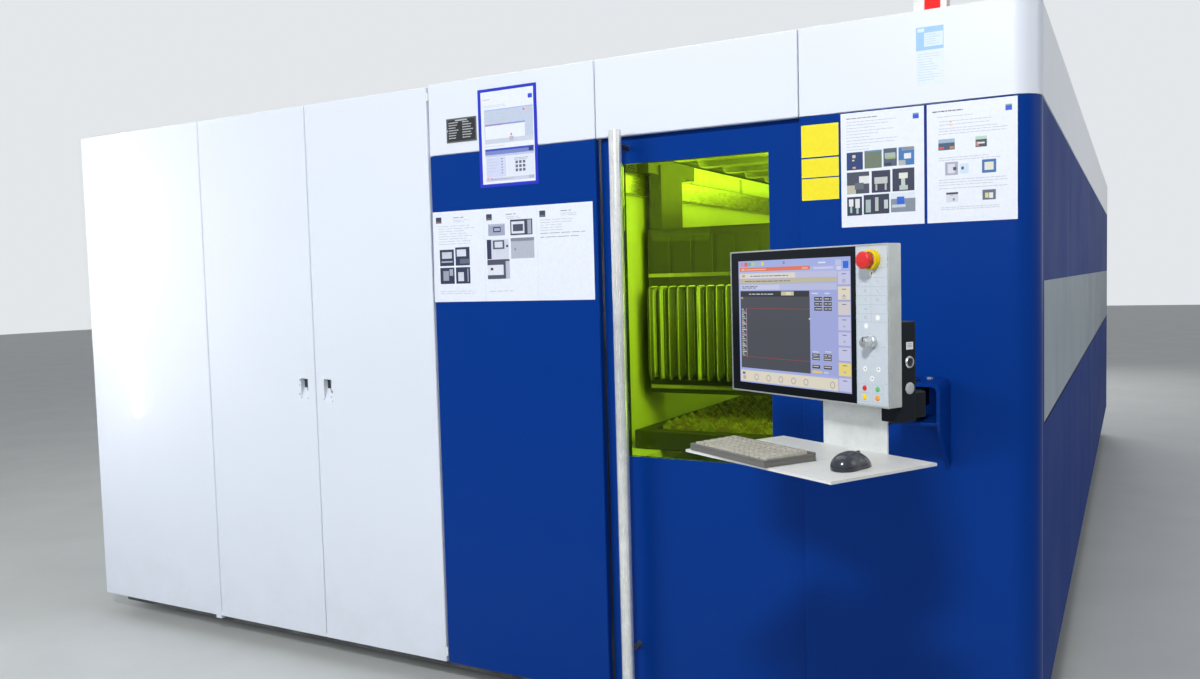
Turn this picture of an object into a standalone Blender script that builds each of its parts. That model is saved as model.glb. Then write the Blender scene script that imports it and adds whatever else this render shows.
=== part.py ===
"""Flatbed laser cutting machine with its enclosure, built as separate pieces.

All sizes are in metres. Positions are measured from the front right corner of
the enclosure: X runs along the front (the machine lies at negative X), Y runs
from the front wall into the machine and Z runs up from the floor. The helper
shifted() moves them so that the origin is on the floor, under the middle.
"""

import math

import bmesh
import bpy
from mathutils import Matrix, Vector

# Size of the enclosure
WIDTH = 4.36
LENGTH = 7.64
HEIGHT = 2.40
CABINET_HEIGHT = HEIGHT - 0.006
FRONT_BOTTOM = 0.10
SIDE_BOTTOM = 0.26
HEADER_TALL = 0.2774
COLOUR_LINE = HEIGHT - HEADER_TALL
SHEET = 0.03
SEAM = 0.004
TOUCH = 0.0003

# Vertical seams of the front, from left to right
FIXED_PANEL_END = -3.510
CABINET_MIDDLE = -2.847
CABINET_END = -2.188
DOOR_LEFT_SEAM = -1.444
DOOR_RIGHT_SEAM = -0.704
CORNER_RADIUS = 0.08
CORNER_DEPTH = 0.095

# Seams of the right side wall
SIDE_FIRST_SEAM = 1.472
SIDE_PANEL = 1.375

# Roofs and the beam over the sliding door
ROOF_TOP = HEIGHT - 0.016
ROOF_LOW = ROOF_TOP - 0.032
RIB_DEPTH = 0.030
ROOF_RIB = ROOF_LOW - RIB_DEPTH
ROOF_RIBS = 18
SERVICE_ROOF_LOW = CABINET_HEIGHT - 0.032
HEADER_LOW = COLOUR_LINE + 0.0774

# Base
FOOT_HEIGHT = 0.05
BASE_TOP = 0.24
FOOT_RADIUS = 0.06

# Control cabinet and its doors
CABINET_DEPTH = 0.60
CABINET_WALL = 0.035
PLATE_TOP = CABINET_HEIGHT - 0.134
PLATE_LOW = 0.34
PULL_WIDTH = 0.042
PULL_LOW = 1.138
PULL_HIGH = 1.233
PULL_DEPTH = 0.024
PULL_CENTRES = (-2.912, -2.777)

# Sliding door
DOOR_RECESS = 0.034
DOOR_THICK = 0.030
DOOR_TOP = COLOUR_LINE - 0.0046
DOOR_RIGHT = DOOR_RIGHT_SEAM + 0.032
WINDOW_LEFT = DOOR_LEFT_SEAM + 0.084
WINDOW_RIGHT = DOOR_RIGHT_SEAM - 0.114
WINDOW = (WINDOW_LEFT, WINDOW_RIGHT, 0.986, DOOR_TOP - 0.088)
HANDLE_RADIUS = 0.0225
HANDLE_X = DOOR_LEFT_SEAM + 0.109
HANDLE_Y = -0.060
HANDLE_LOW = FRONT_BOTTOM + 0.04
HANDLE_HIGH = DOOR_TOP + 0.019
HANDLE_MOUNTS = (HANDLE_LOW + 0.16, DOOR_TOP - 0.033)

# Machine frame and motion unit
CHAMBER_LEFT = CABINET_END + 0.018
CHAMBER_RIGHT = -SHEET - 0.006
CHAMBER_MIDDLE = -1.10
FRAME_FRONT = 0.95
FRAME_BACK = LENGTH - 0.19
FRAME_TOP = ROOF_RIB - 0.262
GUIDE_TALL = 0.11
RAIL_TOP = FRAME_TOP + GUIDE_TALL
LEDGE_TOP = 0.76
GANTRY_LEFT = CHAMBER_LEFT + 0.15
GANTRY_RIGHT = CHAMBER_RIGHT - 0.149
BEAM_LOW = 1.02
BEAM_HIGH = 1.88
BELLOWS_FRONT = 1.50
BELLOWS_DEPTH = 0.10
BEAM_FRONT = BELLOWS_FRONT + BELLOWS_DEPTH + 0.0006
BEAM_DEEP = 0.3294
BEAM_BACK = BEAM_FRONT + BEAM_DEEP
BELLOWS_LOW = 1.09
BELLOWS_HIGH = 1.59
PLEAT_PITCH = 0.045
CARRIAGE_MIDDLE = -1.0
CARRIAGE_WIDE = 0.30
CARRIAGE_LEFT = CARRIAGE_MIDDLE - CARRIAGE_WIDE / 2
CARRIAGE_RIGHT = CARRIAGE_MIDDLE + CARRIAGE_WIDE / 2
PALLET_LEFT = CHAMBER_LEFT + 0.17
PALLET_RIGHT = CHAMBER_RIGHT - 0.164
PALLET_FRONT = 1.35
PALLET_BACK = 4.40
PALLET_TOP = LEDGE_TOP + 0.095
SLOT_GAP = 0.02
SLAT_TOP = LEDGE_TOP + 0.14
SLAT_COUNT = 30
SLAT_TEETH = 22

# Operator terminal: its own frame runs along the screen (e), into it (n), up
TERMINAL_AT = (-0.479, -0.828)
TERMINAL_TURN = math.radians(-30)
HOUSING = (-0.216, 0.304, 1.334, 1.684)
HOUSING_DEPTH = 0.040
STRIP_LEFT = 0.2123
BACK_PLATE = (0.046, 0.242)
BACK_PLATE_FRONT = 0.060
BACK_PLATE_THICK = 0.004
SHELF_TOP = 1.2225
SHELF_THICK = 0.006
SHELF = (-0.094, 0.377, -0.243)
HUB_LOW = 1.298
HUB_HIGH = 1.372
TERMINAL_PIVOT = (0.075, 0.125)

# Arm and its bracket on the front wall
BRACKET = (-0.385, -0.247, 1.180, 1.302)
BRACKET_REACH = 0.190
FLANGE = 0.010
ARM_PIVOT = (-0.3265, -0.115)
ARM_TALL = 0.052
ARM_HIGH = BRACKET[3] - FLANGE - 0.005
ARM_LOW = ARM_HIGH - ARM_TALL
ARM_WIDTH = 0.075
PIN_RADIUS = 0.012
RUNNING_GAP = 0.00008

# The origin: under the middle of the whole object
REACH = (
    TERMINAL_AT[1]
    + SHELF[1] * math.sin(TERMINAL_TURN)
    + SHELF[2] * math.cos(TERMINAL_TURN)
)
MIDDLE = Vector((-WIDTH / 2, (LENGTH + REACH) / 2, 0.0))

WHITE = (0.86, 0.88, 0.92)
BLUE = (0.01, 0.07, 0.28)
DARK = (0.02, 0.022, 0.025)
STEEL = (0.62, 0.63, 0.62)
GREY = (0.45, 0.47, 0.48)


def clear_scene():
    for item in list(bpy.data.objects):
        bpy.data.objects.remove(item, do_unlink=True)


def make_collections():
    machine = bpy.data.collections.new("laser_cutting_machine")
    cutters = bpy.data.collections.new("cutters")
    bpy.context.scene.collection.children.link(machine)
    bpy.context.scene.collection.children.link(cutters)
    cutters.hide_render = True
    return machine, cutters


def paint(item, colour, metallic=0.0, roughness=0.45):
    surface = bpy.data.materials.new(item.name)
    surface.use_nodes = True
    shader = surface.node_tree.nodes["Principled BSDF"]
    shader.inputs["Base Color"].default_value = (*colour, 1.0)
    shader.inputs["Metallic"].default_value = metallic
    shader.inputs["Roughness"].default_value = roughness
    item.data.materials.append(surface)


def shifted(point):
    return Vector(point) - MIDDLE


def finish(name, solid, origin, turn=0.0, cutter=False):
    """Makes an object from a bmesh whose points are relative to the origin."""
    mesh = bpy.data.meshes.new(name)
    bmesh.ops.recalc_face_normals(solid, faces=solid.faces)
    solid.to_mesh(mesh)
    solid.free()
    item = bpy.data.objects.new(name, mesh)
    item.location = shifted(origin)
    item.rotation_euler = (0.0, 0.0, turn)
    if cutter:
        CUTTERS.objects.link(item)
        item.hide_render = True
        item.display_type = "WIRE"
    else:
        MACHINE.objects.link(item)
    return item


def soften(item, width, segments=2):
    bevel = item.modifiers.new("edges", "BEVEL")
    bevel.width = width
    bevel.segments = segments
    bevel.limit_method = "ANGLE"


def box(name, low, high, origin=(0, 0, 0), turn=0.0, cutter=False, edge=0.0, segments=1):
    """A box given by two corners; origin is where the object's own axes sit."""
    low, high, base = Vector(low), Vector(high), Vector(origin)
    size = high - low
    solid = bmesh.new()
    place = Matrix.LocRotScale((low + high) / 2 - (base if turn == 0.0 else Vector()), None, size)
    bmesh.ops.create_cube(solid, size=1.0, matrix=place)
    item = finish(name, solid, origin, turn, cutter)
    if edge:
        soften(item, edge, segments)
    return item


def round_bar(name, start, end, radius, origin=(0, 0, 0), turn=0.0, cutter=False, sides=24):
    """A cylinder between two points."""
    start, end, base = Vector(start), Vector(end), Vector(origin)
    along = end - start
    offset = base if turn == 0.0 else Vector()
    place = Matrix.Translation((start + end) / 2 - offset)
    place = place @ along.to_track_quat("Z", "Y").to_matrix().to_4x4()
    solid = bmesh.new()
    bmesh.ops.create_cone(
        solid,
        cap_ends=True,
        segments=sides,
        radius1=radius,
        radius2=radius,
        depth=along.length,
        matrix=place,
    )
    return finish(name, solid, origin, turn, cutter)


def outline_solid(name, points, thickness, place, origin=(0, 0, 0), turn=0.0, cutter=False):
    """A flat closed outline given a thickness, centred on its own plane."""
    flat = bpy.data.curves.new(name + "_outline", "CURVE")
    flat.dimensions = "2D"
    flat.fill_mode = "BOTH"
    flat.extrude = thickness / 2
    line = flat.splines.new("POLY")
    line.points.add(len(points) - 1)
    for point, (x, y) in zip(line.points, points):
        point.co = (x, y, 0.0, 1.0)
    line.use_cyclic_u = True
    guide = bpy.data.objects.new(name + "_outline", flat)
    filled = bpy.data.meshes.new_from_object(guide)
    bpy.data.objects.remove(guide, do_unlink=True)
    solid = bmesh.new()
    solid.from_mesh(filled)
    bmesh.ops.remove_doubles(solid, verts=solid.verts, dist=0.00001)
    offset = Vector(origin) if turn == 0.0 else Vector()
    bmesh.ops.transform(solid, matrix=Matrix.Translation(-offset) @ place, verts=solid.verts)
    return finish(name, solid, origin, turn, cutter)


def lathe(name, profile, centre, steps=24):
    """A turned solid: (radius, height) pairs from the top axis point down."""
    mesh = bpy.data.meshes.new(name)
    points = [(radius, 0.0, height) for radius, height in profile]
    mesh.from_pydata(points, [(i, i + 1) for i in range(len(points) - 1)], [])
    item = bpy.data.objects.new(name, mesh)
    item.location = shifted(centre)
    MACHINE.objects.link(item)
    turn = item.modifiers.new("turn", "SCREW")
    turn.steps = steps
    turn.render_steps = steps
    turn.use_merge_vertices = True
    turn.merge_threshold = 0.00001
    return item


def cut(item, cutter):
    change = item.modifiers.new("cut_" + cutter.name, "BOOLEAN")
    change.operation = "DIFFERENCE"
    change.solver = "EXACT"
    change.object = cutter
    return item


def join(item, other):
    change = item.modifiers.new("join_" + other.name, "BOOLEAN")
    change.operation = "UNION"
    change.solver = "EXACT"
    change.object = other
    return item


def round_front_corner(solid, radius, segments=8):
    """Rounds the upright edge that is nearest to the viewer on the right."""
    uprights = [
        edge
        for edge in solid.edges
        if abs(edge.verts[0].co.x - edge.verts[1].co.x) < 1e-6
        and abs(edge.verts[0].co.y - edge.verts[1].co.y) < 1e-6
    ]
    corner = max(uprights, key=lambda edge: edge.verts[0].co.x - edge.verts[0].co.y)
    bmesh.ops.bevel(
        solid,
        geom=[corner],
        offset=radius,
        segments=segments,
        profile=0.5,
        affect="EDGES",
    )


def rounded_box(name, low, high, radius):
    low, high = Vector(low), Vector(high)
    solid = bmesh.new()
    place = Matrix.LocRotScale((low + high) / 2, None, high - low)
    bmesh.ops.create_cube(solid, size=1.0, matrix=place)
    round_front_corner(solid, radius)
    return finish(name, solid, (0, 0, 0))


def build_base():
    base = box(
        "base_frame",
        (-WIDTH + 0.06, 0.07, FOOT_HEIGHT),
        (-0.06, LENGTH - 0.06, BASE_TOP),
        edge=0.006,
    )
    # Corner posts that carry the wall panels, the header beam and the roofs
    back = LENGTH - SHEET - TOUCH
    low = 0.11
    for number, (start, end) in enumerate(
        (
            (
                (DOOR_LEFT_SEAM - 0.056, SHEET + TOUCH, low),
                (DOOR_LEFT_SEAM - 0.006, 0.090, HEADER_LOW - TOUCH),
            ),
            ((-0.066, SHEET + TOUCH, low), (-SHEET - TOUCH, 0.120, HEADER_LOW - TOUCH)),
            ((-0.110, back - 0.100, low), (-SHEET - TOUCH, back, ROOF_LOW - TOUCH)),
            (
                (CHAMBER_LEFT - 0.010, back - 0.100, low),
                (CHAMBER_LEFT + 0.070, back, ROOF_LOW - TOUCH),
            ),
            (
                (-WIDTH + SHEET + TOUCH, back - 0.100, low),
                (-WIDTH + SHEET + 0.080, back, SERVICE_ROOF_LOW - TOUCH),
            ),
        )
    ):
        join(base, box(f"post_{number}", start, end, cutter=True))
    paint(base, DARK, 0.2, 0.5)
    number = 0
    for x in (-WIDTH + 0.25, -0.25):
        for y in (0.30, LENGTH - 0.30):
            number += 1
            foot = lathe(
                f"levelling_foot_{number}",
                (
                    (0.0, FOOT_HEIGHT - TOUCH),
                    (0.018, FOOT_HEIGHT - TOUCH),
                    (0.018, 0.024),
                    (0.030, 0.022),
                    (FOOT_RADIUS, 0.010),
                    (FOOT_RADIUS, 0.0),
                    (0.0, 0.0),
                ),
                (x, y, 0.0),
            )
            paint(foot, GREY, 0.8, 0.4)


def build_cabinet():
    panel = box(
        "cabinet_fixed_panel",
        (-WIDTH, 0.0, FRONT_BOTTOM),
        (FIXED_PANEL_END - SEAM / 2, SHEET, CABINET_HEIGHT),
        edge=0.003,
    )
    lug = box(
        "lower_hinge_lug",
        (FIXED_PANEL_END - 0.040, 0.003, FRONT_BOTTOM - 0.014),
        (FIXED_PANEL_END - 0.006, SHEET - 0.003, FRONT_BOTTOM + 0.01),
        cutter=True,
    )
    join(panel, lug)
    paint(panel, WHITE)

    back = CABINET_DEPTH
    carcass = box(
        "cabinet_carcass",
        (-WIDTH + SHEET + TOUCH, SHEET + TOUCH, BASE_TOP + TOUCH),
        (CABINET_END - 0.004, back, SERVICE_ROOF_LOW - TOUCH),
        edge=0.002,
    )
    hollow = box(
        "cabinet_hollow",
        (FIXED_PANEL_END + CABINET_WALL, 0.0, PLATE_LOW - 0.05),
        (CABINET_END - CABINET_WALL - 0.01, back - 0.03, PLATE_TOP + 0.059),
        cutter=True,
    )
    cut(carcass, hollow)
    paint(carcass, (0.55, 0.57, 0.58))
    build_equipment(back - 0.03)
    return carcass


def build_equipment(back):
    """The mounting plate of the control cabinet with everything fixed to it."""
    left = FIXED_PANEL_END + CABINET_WALL + 0.025
    right = CABINET_END - CABINET_WALL - 0.035
    plate = box(
        "equipped_mounting_plate",
        (left, back - 0.008, PLATE_LOW),
        (right, back - TOUCH, PLATE_TOP),
    )
    rows = (
        (PLATE_TOP - 0.54, 0.34, 6, 0.20, 0.86),
        (PLATE_TOP - 0.90, 0.16, 9, 0.11, 0.80),
        (PLATE_TOP - 1.20, 0.12, 16, 0.075, 0.82),
        (PLATE_LOW + 0.08, 0.36, 3, 0.24, 0.74),
    )
    span = right - left
    for number, (low, tall, count, deep, fill) in enumerate(rows):
        pitch = (span - 0.06) / count
        for place in range(count):
            x = left + 0.03 + pitch * place
            module = box(
                f"module_{number}_{place}",
                (x, back - 0.006 - deep, low),
                (x + pitch * fill, back - 0.004, low + tall),
                cutter=True,
            )
            join(plate, module)
    for number, drop in enumerate((0.14, 0.68, 1.02, 1.36)):
        low = PLATE_TOP - drop
        duct = box(
            f"cable_duct_{number}",
            (left + 0.02, back - 0.07, low),
            (right - 0.02, back - 0.004, low + 0.07),
            cutter=True,
        )
        join(plate, duct)
    paint(plate, (0.6, 0.6, 0.58), 0.6, 0.4)


def pull_cutter(name, centre):
    """A finger recess: deep at the top, running out to the face at the bottom."""
    outline = (
        (-0.010, PULL_LOW - 0.0005),
        (0.0, PULL_LOW),
        (PULL_DEPTH, PULL_LOW + 0.070),
        (PULL_DEPTH, PULL_HIGH),
        (-0.010, PULL_HIGH),
    )
    place = Matrix.Translation((centre, 0, 0)) @ Matrix(
        ((0, 0, 1, 0), (1, 0, 0, 0), (0, 1, 0, 0), (0, 0, 0, 1))
    )
    return outline_solid(name, outline, PULL_WIDTH, place, cutter=True)


def build_cabinet_doors():
    left = box(
        "cabinet_door_left",
        (FIXED_PANEL_END + SEAM / 2, 0.0, FRONT_BOTTOM),
        (CABINET_MIDDLE - SEAM / 2, SHEET, CABINET_HEIGHT),
        origin=(FIXED_PANEL_END + SEAM / 2, -0.0005, FRONT_BOTTOM),
        edge=0.003,
    )
    cut(left, pull_cutter("left_pull", PULL_CENTRES[0]))
    paint(left, WHITE)
    right = box(
        "cabinet_door_right",
        (CABINET_MIDDLE + SEAM / 2, 0.0, FRONT_BOTTOM),
        (CABINET_END - 0.006, SHEET, CABINET_HEIGHT),
        origin=(CABINET_END - 0.006, -0.0005, FRONT_BOTTOM),
        edge=0.003,
    )
    cut(right, pull_cutter("right_pull", PULL_CENTRES[1]))
    paint(right, WHITE)


def build_front_panels():
    left = CABINET_END + 0.004
    parts = (
        ("front_header_left", left, DOOR_LEFT_SEAM - SEAM / 2, COLOUR_LINE + 0.002, HEIGHT, WHITE),
        (
            "front_header_door",
            DOOR_LEFT_SEAM + SEAM / 2,
            DOOR_RIGHT_SEAM - SEAM / 2,
            COLOUR_LINE + 0.002,
            HEIGHT,
            WHITE,
        ),
        ("front_panel_left", left, DOOR_LEFT_SEAM - SEAM / 2, FRONT_BOTTOM, COLOUR_LINE, BLUE),
    )
    for name, start, end, low, high, colour in parts:
        panel = box(name, (start, 0.0, low), (end, SHEET, high), edge=0.003)
        paint(panel, colour, 0.0, 0.35)
    for name, low, high, colour in (
        ("front_header_corner", COLOUR_LINE + 0.002, HEIGHT, WHITE),
        ("front_panel_corner", FRONT_BOTTOM, COLOUR_LINE, BLUE),
    ):
        start = DOOR_RIGHT_SEAM + SEAM / 2
        panel = rounded_box(name, (start, 0.0, low), (0.0, CORNER_DEPTH, high), CORNER_RADIUS)
        inner = box(
            name + "_inside",
            (start - 0.1, SHEET, low - 0.1),
            (-SHEET, CORNER_DEPTH + 0.1, high + 0.1),
            cutter=True,
        )
        cut(panel, inner)
        paint(panel, colour, 0.0, 0.35)
    plate = box(
        "rating_plate",
        (CABINET_END + 0.090, -0.0018, COLOUR_LINE + 0.0434),
        (CABINET_END + 0.231, -TOUCH, COLOUR_LINE + 0.1354),
    )
    paint(plate, (0.05, 0.05, 0.05), 0.3, 0.4)


def grooved_wall(name, low, high, groove_low, groove_high):
    """A wall of sheet panels: each seam is a shallow upright groove."""
    wall = box(name, low, high, edge=0.003)
    for number in range(int((high[1] - 0.2 - SIDE_FIRST_SEAM) / SIDE_PANEL) + 1):
        y = SIDE_FIRST_SEAM + SIDE_PANEL * number
        groove = box(
            f"{name}_seam_{number}",
            (groove_low, y - SEAM / 2, low[2] - 0.1),
            (groove_high, y + SEAM / 2, high[2] + 0.1),
            cutter=True,
        )
        cut(wall, groove)
    return wall


def build_walls():
    start = CORNER_DEPTH + SEAM
    wall = grooved_wall(
        "side_wall",
        (-SHEET, start, SIDE_BOTTOM),
        (0.0, LENGTH - SHEET - SEAM, COLOUR_LINE),
        -0.006,
        0.05,
    )
    paint(wall, BLUE, 0.0, 0.35)
    header = box(
        "side_header",
        (-SHEET, start, COLOUR_LINE + 0.002),
        (0.0, LENGTH - SHEET - SEAM, HEIGHT),
        edge=0.003,
    )
    paint(header, WHITE)
    left = grooved_wall(
        "left_side_wall",
        (-WIDTH, SHEET + SEAM, SIDE_BOTTOM),
        (-WIDTH + SHEET, LENGTH - SHEET - SEAM, CABINET_HEIGHT),
        -WIDTH - 0.05,
        -WIDTH + 0.006,
    )
    paint(left, WHITE)
    rear_left = box(
        "rear_panel_left",
        (-WIDTH, LENGTH - SHEET, SIDE_BOTTOM),
        (CHAMBER_LEFT - SEAM / 2, LENGTH, CABINET_HEIGHT),
        edge=0.003,
    )
    paint(rear_left, WHITE)
    rear = box(
        "rear_panel_chamber",
        (CHAMBER_LEFT + SEAM / 2, LENGTH - SHEET, SIDE_BOTTOM),
        (0.0, LENGTH, HEIGHT),
        edge=0.003,
    )
    slot = box(
        "loading_slot",
        (PALLET_LEFT - SLOT_GAP, LENGTH - 0.2, LEDGE_TOP - 0.06),
        (PALLET_RIGHT + SLOT_GAP, LENGTH + 0.1, LEDGE_TOP + 0.26),
        cutter=True,
    )
    cut(rear, slot)
    paint(rear, BLUE, 0.0, 0.35)


def build_roofs():
    service = box(
        "service_roof",
        (-WIDTH + SHEET + TOUCH, SHEET + SEAM, SERVICE_ROOF_LOW),
        (CABINET_END, LENGTH - SHEET - TOUCH, CABINET_HEIGHT - 0.004),
        edge=0.002,
    )
    paint(service, WHITE)
    # The chamber roof is a sheet with ribs that run across the machine
    back = LENGTH - SHEET - TOUCH
    front = SHEET + SEAM
    low, rib, high = ROOF_LOW, ROOF_RIB, ROOF_TOP
    count = ROOF_RIBS
    pitch = (back - front) / count
    outline = [(front, high), (front, low)]
    for place in range(count):
        y = front + pitch * place
        outline += [
            (y + 0.30 * pitch, low),
            (y + 0.38 * pitch, rib),
            (y + 0.62 * pitch, rib),
            (y + 0.70 * pitch, low),
        ]
    outline += [(back, low), (back, high)]
    right = -SHEET - TOUCH
    wide = right - (CABINET_END + SEAM)
    place = Matrix.Translation((right - wide / 2, 0, 0)) @ Matrix(
        ((0, 0, 1, 0), (1, 0, 0, 0), (0, 1, 0, 0), (0, 0, 0, 1))
    )
    roof = outline_solid("cabin_roof", outline, wide, place)
    paint(roof, (0.7, 0.72, 0.74))


def build_service_bay():
    """What stands behind the control cabinet, left of the cutting chamber."""
    left = -WIDTH + SHEET + 0.05
    right = CHAMBER_LEFT - 0.09
    source_front = CABINET_DEPTH + 0.10
    source_back = source_front + 1.90
    cooler_back = source_back + 0.15 + 1.95
    end_wall = LENGTH - 0.24
    parts = (
        ("laser_source", source_front, source_back, 0.502, (0.75, 0.76, 0.78)),
        ("cooling_unit", source_back + 0.15, cooler_back, 0.312, (0.7, 0.72, 0.75)),
        ("dust_extractor", cooler_back + 0.15, end_wall, 0.162, (0.5, 0.53, 0.56)),
    )
    for name, start, end, under_roof, colour in parts:
        top = SERVICE_ROOF_LOW - under_roof
        unit = box(
            name, (left, start, BASE_TOP + TOUCH), (right, end, top), edge=0.012, segments=2
        )
        paint(unit, colour)


def build_frame():
    """Side frames with the ledges that carry the pallet, and the guide beams."""
    left = box(
        "side_frame_left",
        (CHAMBER_LEFT, FRAME_FRONT, BASE_TOP + TOUCH),
        (CHAMBER_LEFT + 0.090, FRAME_BACK, FRAME_TOP),
        edge=0.004,
    )
    ledge = box(
        "left_ledge",
        (CHAMBER_LEFT + 0.070, FRAME_FRONT + 0.05, LEDGE_TOP - 0.06),
        (CHAMBER_LEFT + 0.310, FRAME_BACK - 0.01, LEDGE_TOP),
        cutter=True,
    )
    join(left, ledge)
    paint(left, (0.72, 0.75, 0.76))
    right = box(
        "side_frame_right",
        (CHAMBER_RIGHT - 0.089, FRAME_FRONT, BASE_TOP + TOUCH),
        (CHAMBER_RIGHT, FRAME_BACK, FRAME_TOP),
        edge=0.004,
    )
    ledge = box(
        "right_ledge",
        (CHAMBER_RIGHT - 0.304, FRAME_FRONT + 0.05, LEDGE_TOP - 0.06),
        (CHAMBER_RIGHT - 0.074, FRAME_BACK - 0.01, LEDGE_TOP),
        cutter=True,
    )
    join(right, ledge)
    paint(right, (0.72, 0.75, 0.76))
    for name, start, end in (
        ("guide_beam_left", CHAMBER_LEFT + 0.002, CHAMBER_LEFT + 0.135),
        ("guide_beam_right", CHAMBER_RIGHT - 0.136, CHAMBER_RIGHT),
    ):
        beam = box(
            name,
            (start, FRAME_FRONT, FRAME_TOP + TOUCH),
            (end, FRAME_BACK, RAIL_TOP),
            edge=0.004,
        )
        paint(beam, STEEL, 0.7, 0.35)
    half, rim, high = 0.32, 0.04, BASE_TOP + 0.20
    front, back = FRAME_FRONT + 0.15, FRAME_BACK - 0.05
    conveyor = box(
        "scrap_conveyor",
        (CHAMBER_MIDDLE - half, front, BASE_TOP + TOUCH),
        (CHAMBER_MIDDLE + half, back, high),
        edge=0.004,
    )
    trough = box(
        "conveyor_trough",
        (CHAMBER_MIDDLE - half + rim, front + 0.06, high - 0.06),
        (CHAMBER_MIDDLE + half - rim, back - 0.06, high + 0.16),
        cutter=True,
    )
    cut(conveyor, trough)
    paint(conveyor, GREY, 0.5, 0.5)


def bellows_outline(start, end):
    """Folds of the bellows seen from above: valleys and ridges in turn."""
    count = max(4, round((end - start) / PLEAT_PITCH))
    pitch = (end - start) / count
    back = BEAM_FRONT - TOUCH
    points = [(end, back), (start, back), (start, BELLOWS_FRONT + 0.035)]
    for fold in range(count):
        x = start + pitch * fold
        points.append((x + 0.5 * pitch, BELLOWS_FRONT))
        points.append((x + pitch, BELLOWS_FRONT + 0.035))
    return points


def build_motion_unit():
    rest = (CHAMBER_MIDDLE, BEAM_FRONT, RAIL_TOP)
    beam = box(
        "gantry_beam",
        (GANTRY_LEFT, BEAM_FRONT, BEAM_LOW),
        (GANTRY_RIGHT, BEAM_BACK, BEAM_HIGH),
        origin=rest,
    )
    riser, front, back = 0.07, BEAM_FRONT + 0.03, BEAM_BACK - 0.03
    low, high = BEAM_HIGH - 0.08, RAIL_TOP + 0.05
    truck_low, truck_high = RAIL_TOP + TOUCH, RAIL_TOP + 0.08
    truck_front, truck_back = BELLOWS_FRONT, BEAM_BACK + 0.17
    for name, start, end in (
        ("left_riser", (GANTRY_LEFT, front, low), (GANTRY_LEFT + riser, back, high)),
        ("right_riser", (GANTRY_RIGHT - riser, front, low), (GANTRY_RIGHT, back, high)),
        (
            "left_truck",
            (CHAMBER_LEFT + 0.020, truck_front, truck_low),
            (GANTRY_LEFT + 0.060, truck_back, truck_high),
        ),
        (
            "right_truck",
            (GANTRY_RIGHT - 0.060, truck_front, truck_low),
            (CHAMBER_RIGHT - 0.019, truck_back, truck_high),
        ),
    ):
        join(beam, box(name, start, end, cutter=True))
    paint(beam, (0.25, 0.27, 0.28))
    carriage = box(
        "head_carriage",
        (CARRIAGE_LEFT, BELLOWS_FRONT, BEAM_LOW + 0.02),
        (CARRIAGE_RIGHT, BEAM_FRONT - TOUCH, BEAM_HIGH - 0.16),
        origin=(CARRIAGE_MIDDLE, BELLOWS_FRONT, (BEAM_LOW + BEAM_HIGH) / 2 - 0.07),
        edge=0.012,
        segments=2,
    )
    paint(carriage, (0.3, 0.32, 0.34))
    middle, tip = CARRIAGE_MIDDLE, SLAT_TOP + 0.12
    head_y = BELLOWS_FRONT - 0.075
    head = box(
        "cutting_head",
        (middle - 0.055, head_y - 0.055, tip + 0.14),
        (middle + 0.055, BELLOWS_FRONT - 0.0005, tip + 0.60),
        origin=(middle, head_y, tip),
        edge=0.010,
    )
    for name, high, low, radius in (
        ("nozzle_body", 0.15, 0.05, 0.035),
        ("nozzle_holder", 0.06, 0.025, 0.022),
        ("nozzle", 0.03, 0.0, 0.008),
    ):
        start, end = (middle, head_y, tip + high), (middle, head_y, tip + low)
        join(head, round_bar(name, start, end, radius, cutter=True))
    paint(head, STEEL, 0.8, 0.3)
    for name, start, end in (
        ("bellows_left", GANTRY_LEFT + 0.020, CARRIAGE_LEFT - 0.002),
        ("bellows_right", CARRIAGE_RIGHT + 0.002, GANTRY_RIGHT - 0.015),
    ):
        middle_height = (BELLOWS_LOW + BELLOWS_HIGH) / 2
        folds = outline_solid(
            name,
            bellows_outline(start, end),
            BELLOWS_HIGH - BELLOWS_LOW,
            Matrix.Translation((0, 0, middle_height)),
        )
        paint(folds, (0.05, 0.06, 0.05))


def slat_outline():
    """One support slat from the front: a plate with a sawtooth upper edge."""
    left, right = PALLET_LEFT + 0.10, PALLET_RIGHT - 0.10
    low, root = LEDGE_TOP + 0.015, SLAT_TOP - 0.035
    pitch = (right - left) / SLAT_TEETH
    points = [(left, root), (left, low), (right, low), (right, root)]
    for tooth in range(SLAT_TEETH):
        x = right - pitch * tooth
        points.append((x - pitch / 2, SLAT_TOP))
        if tooth < SLAT_TEETH - 1:
            points.append((x - pitch, root))
    return points


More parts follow.
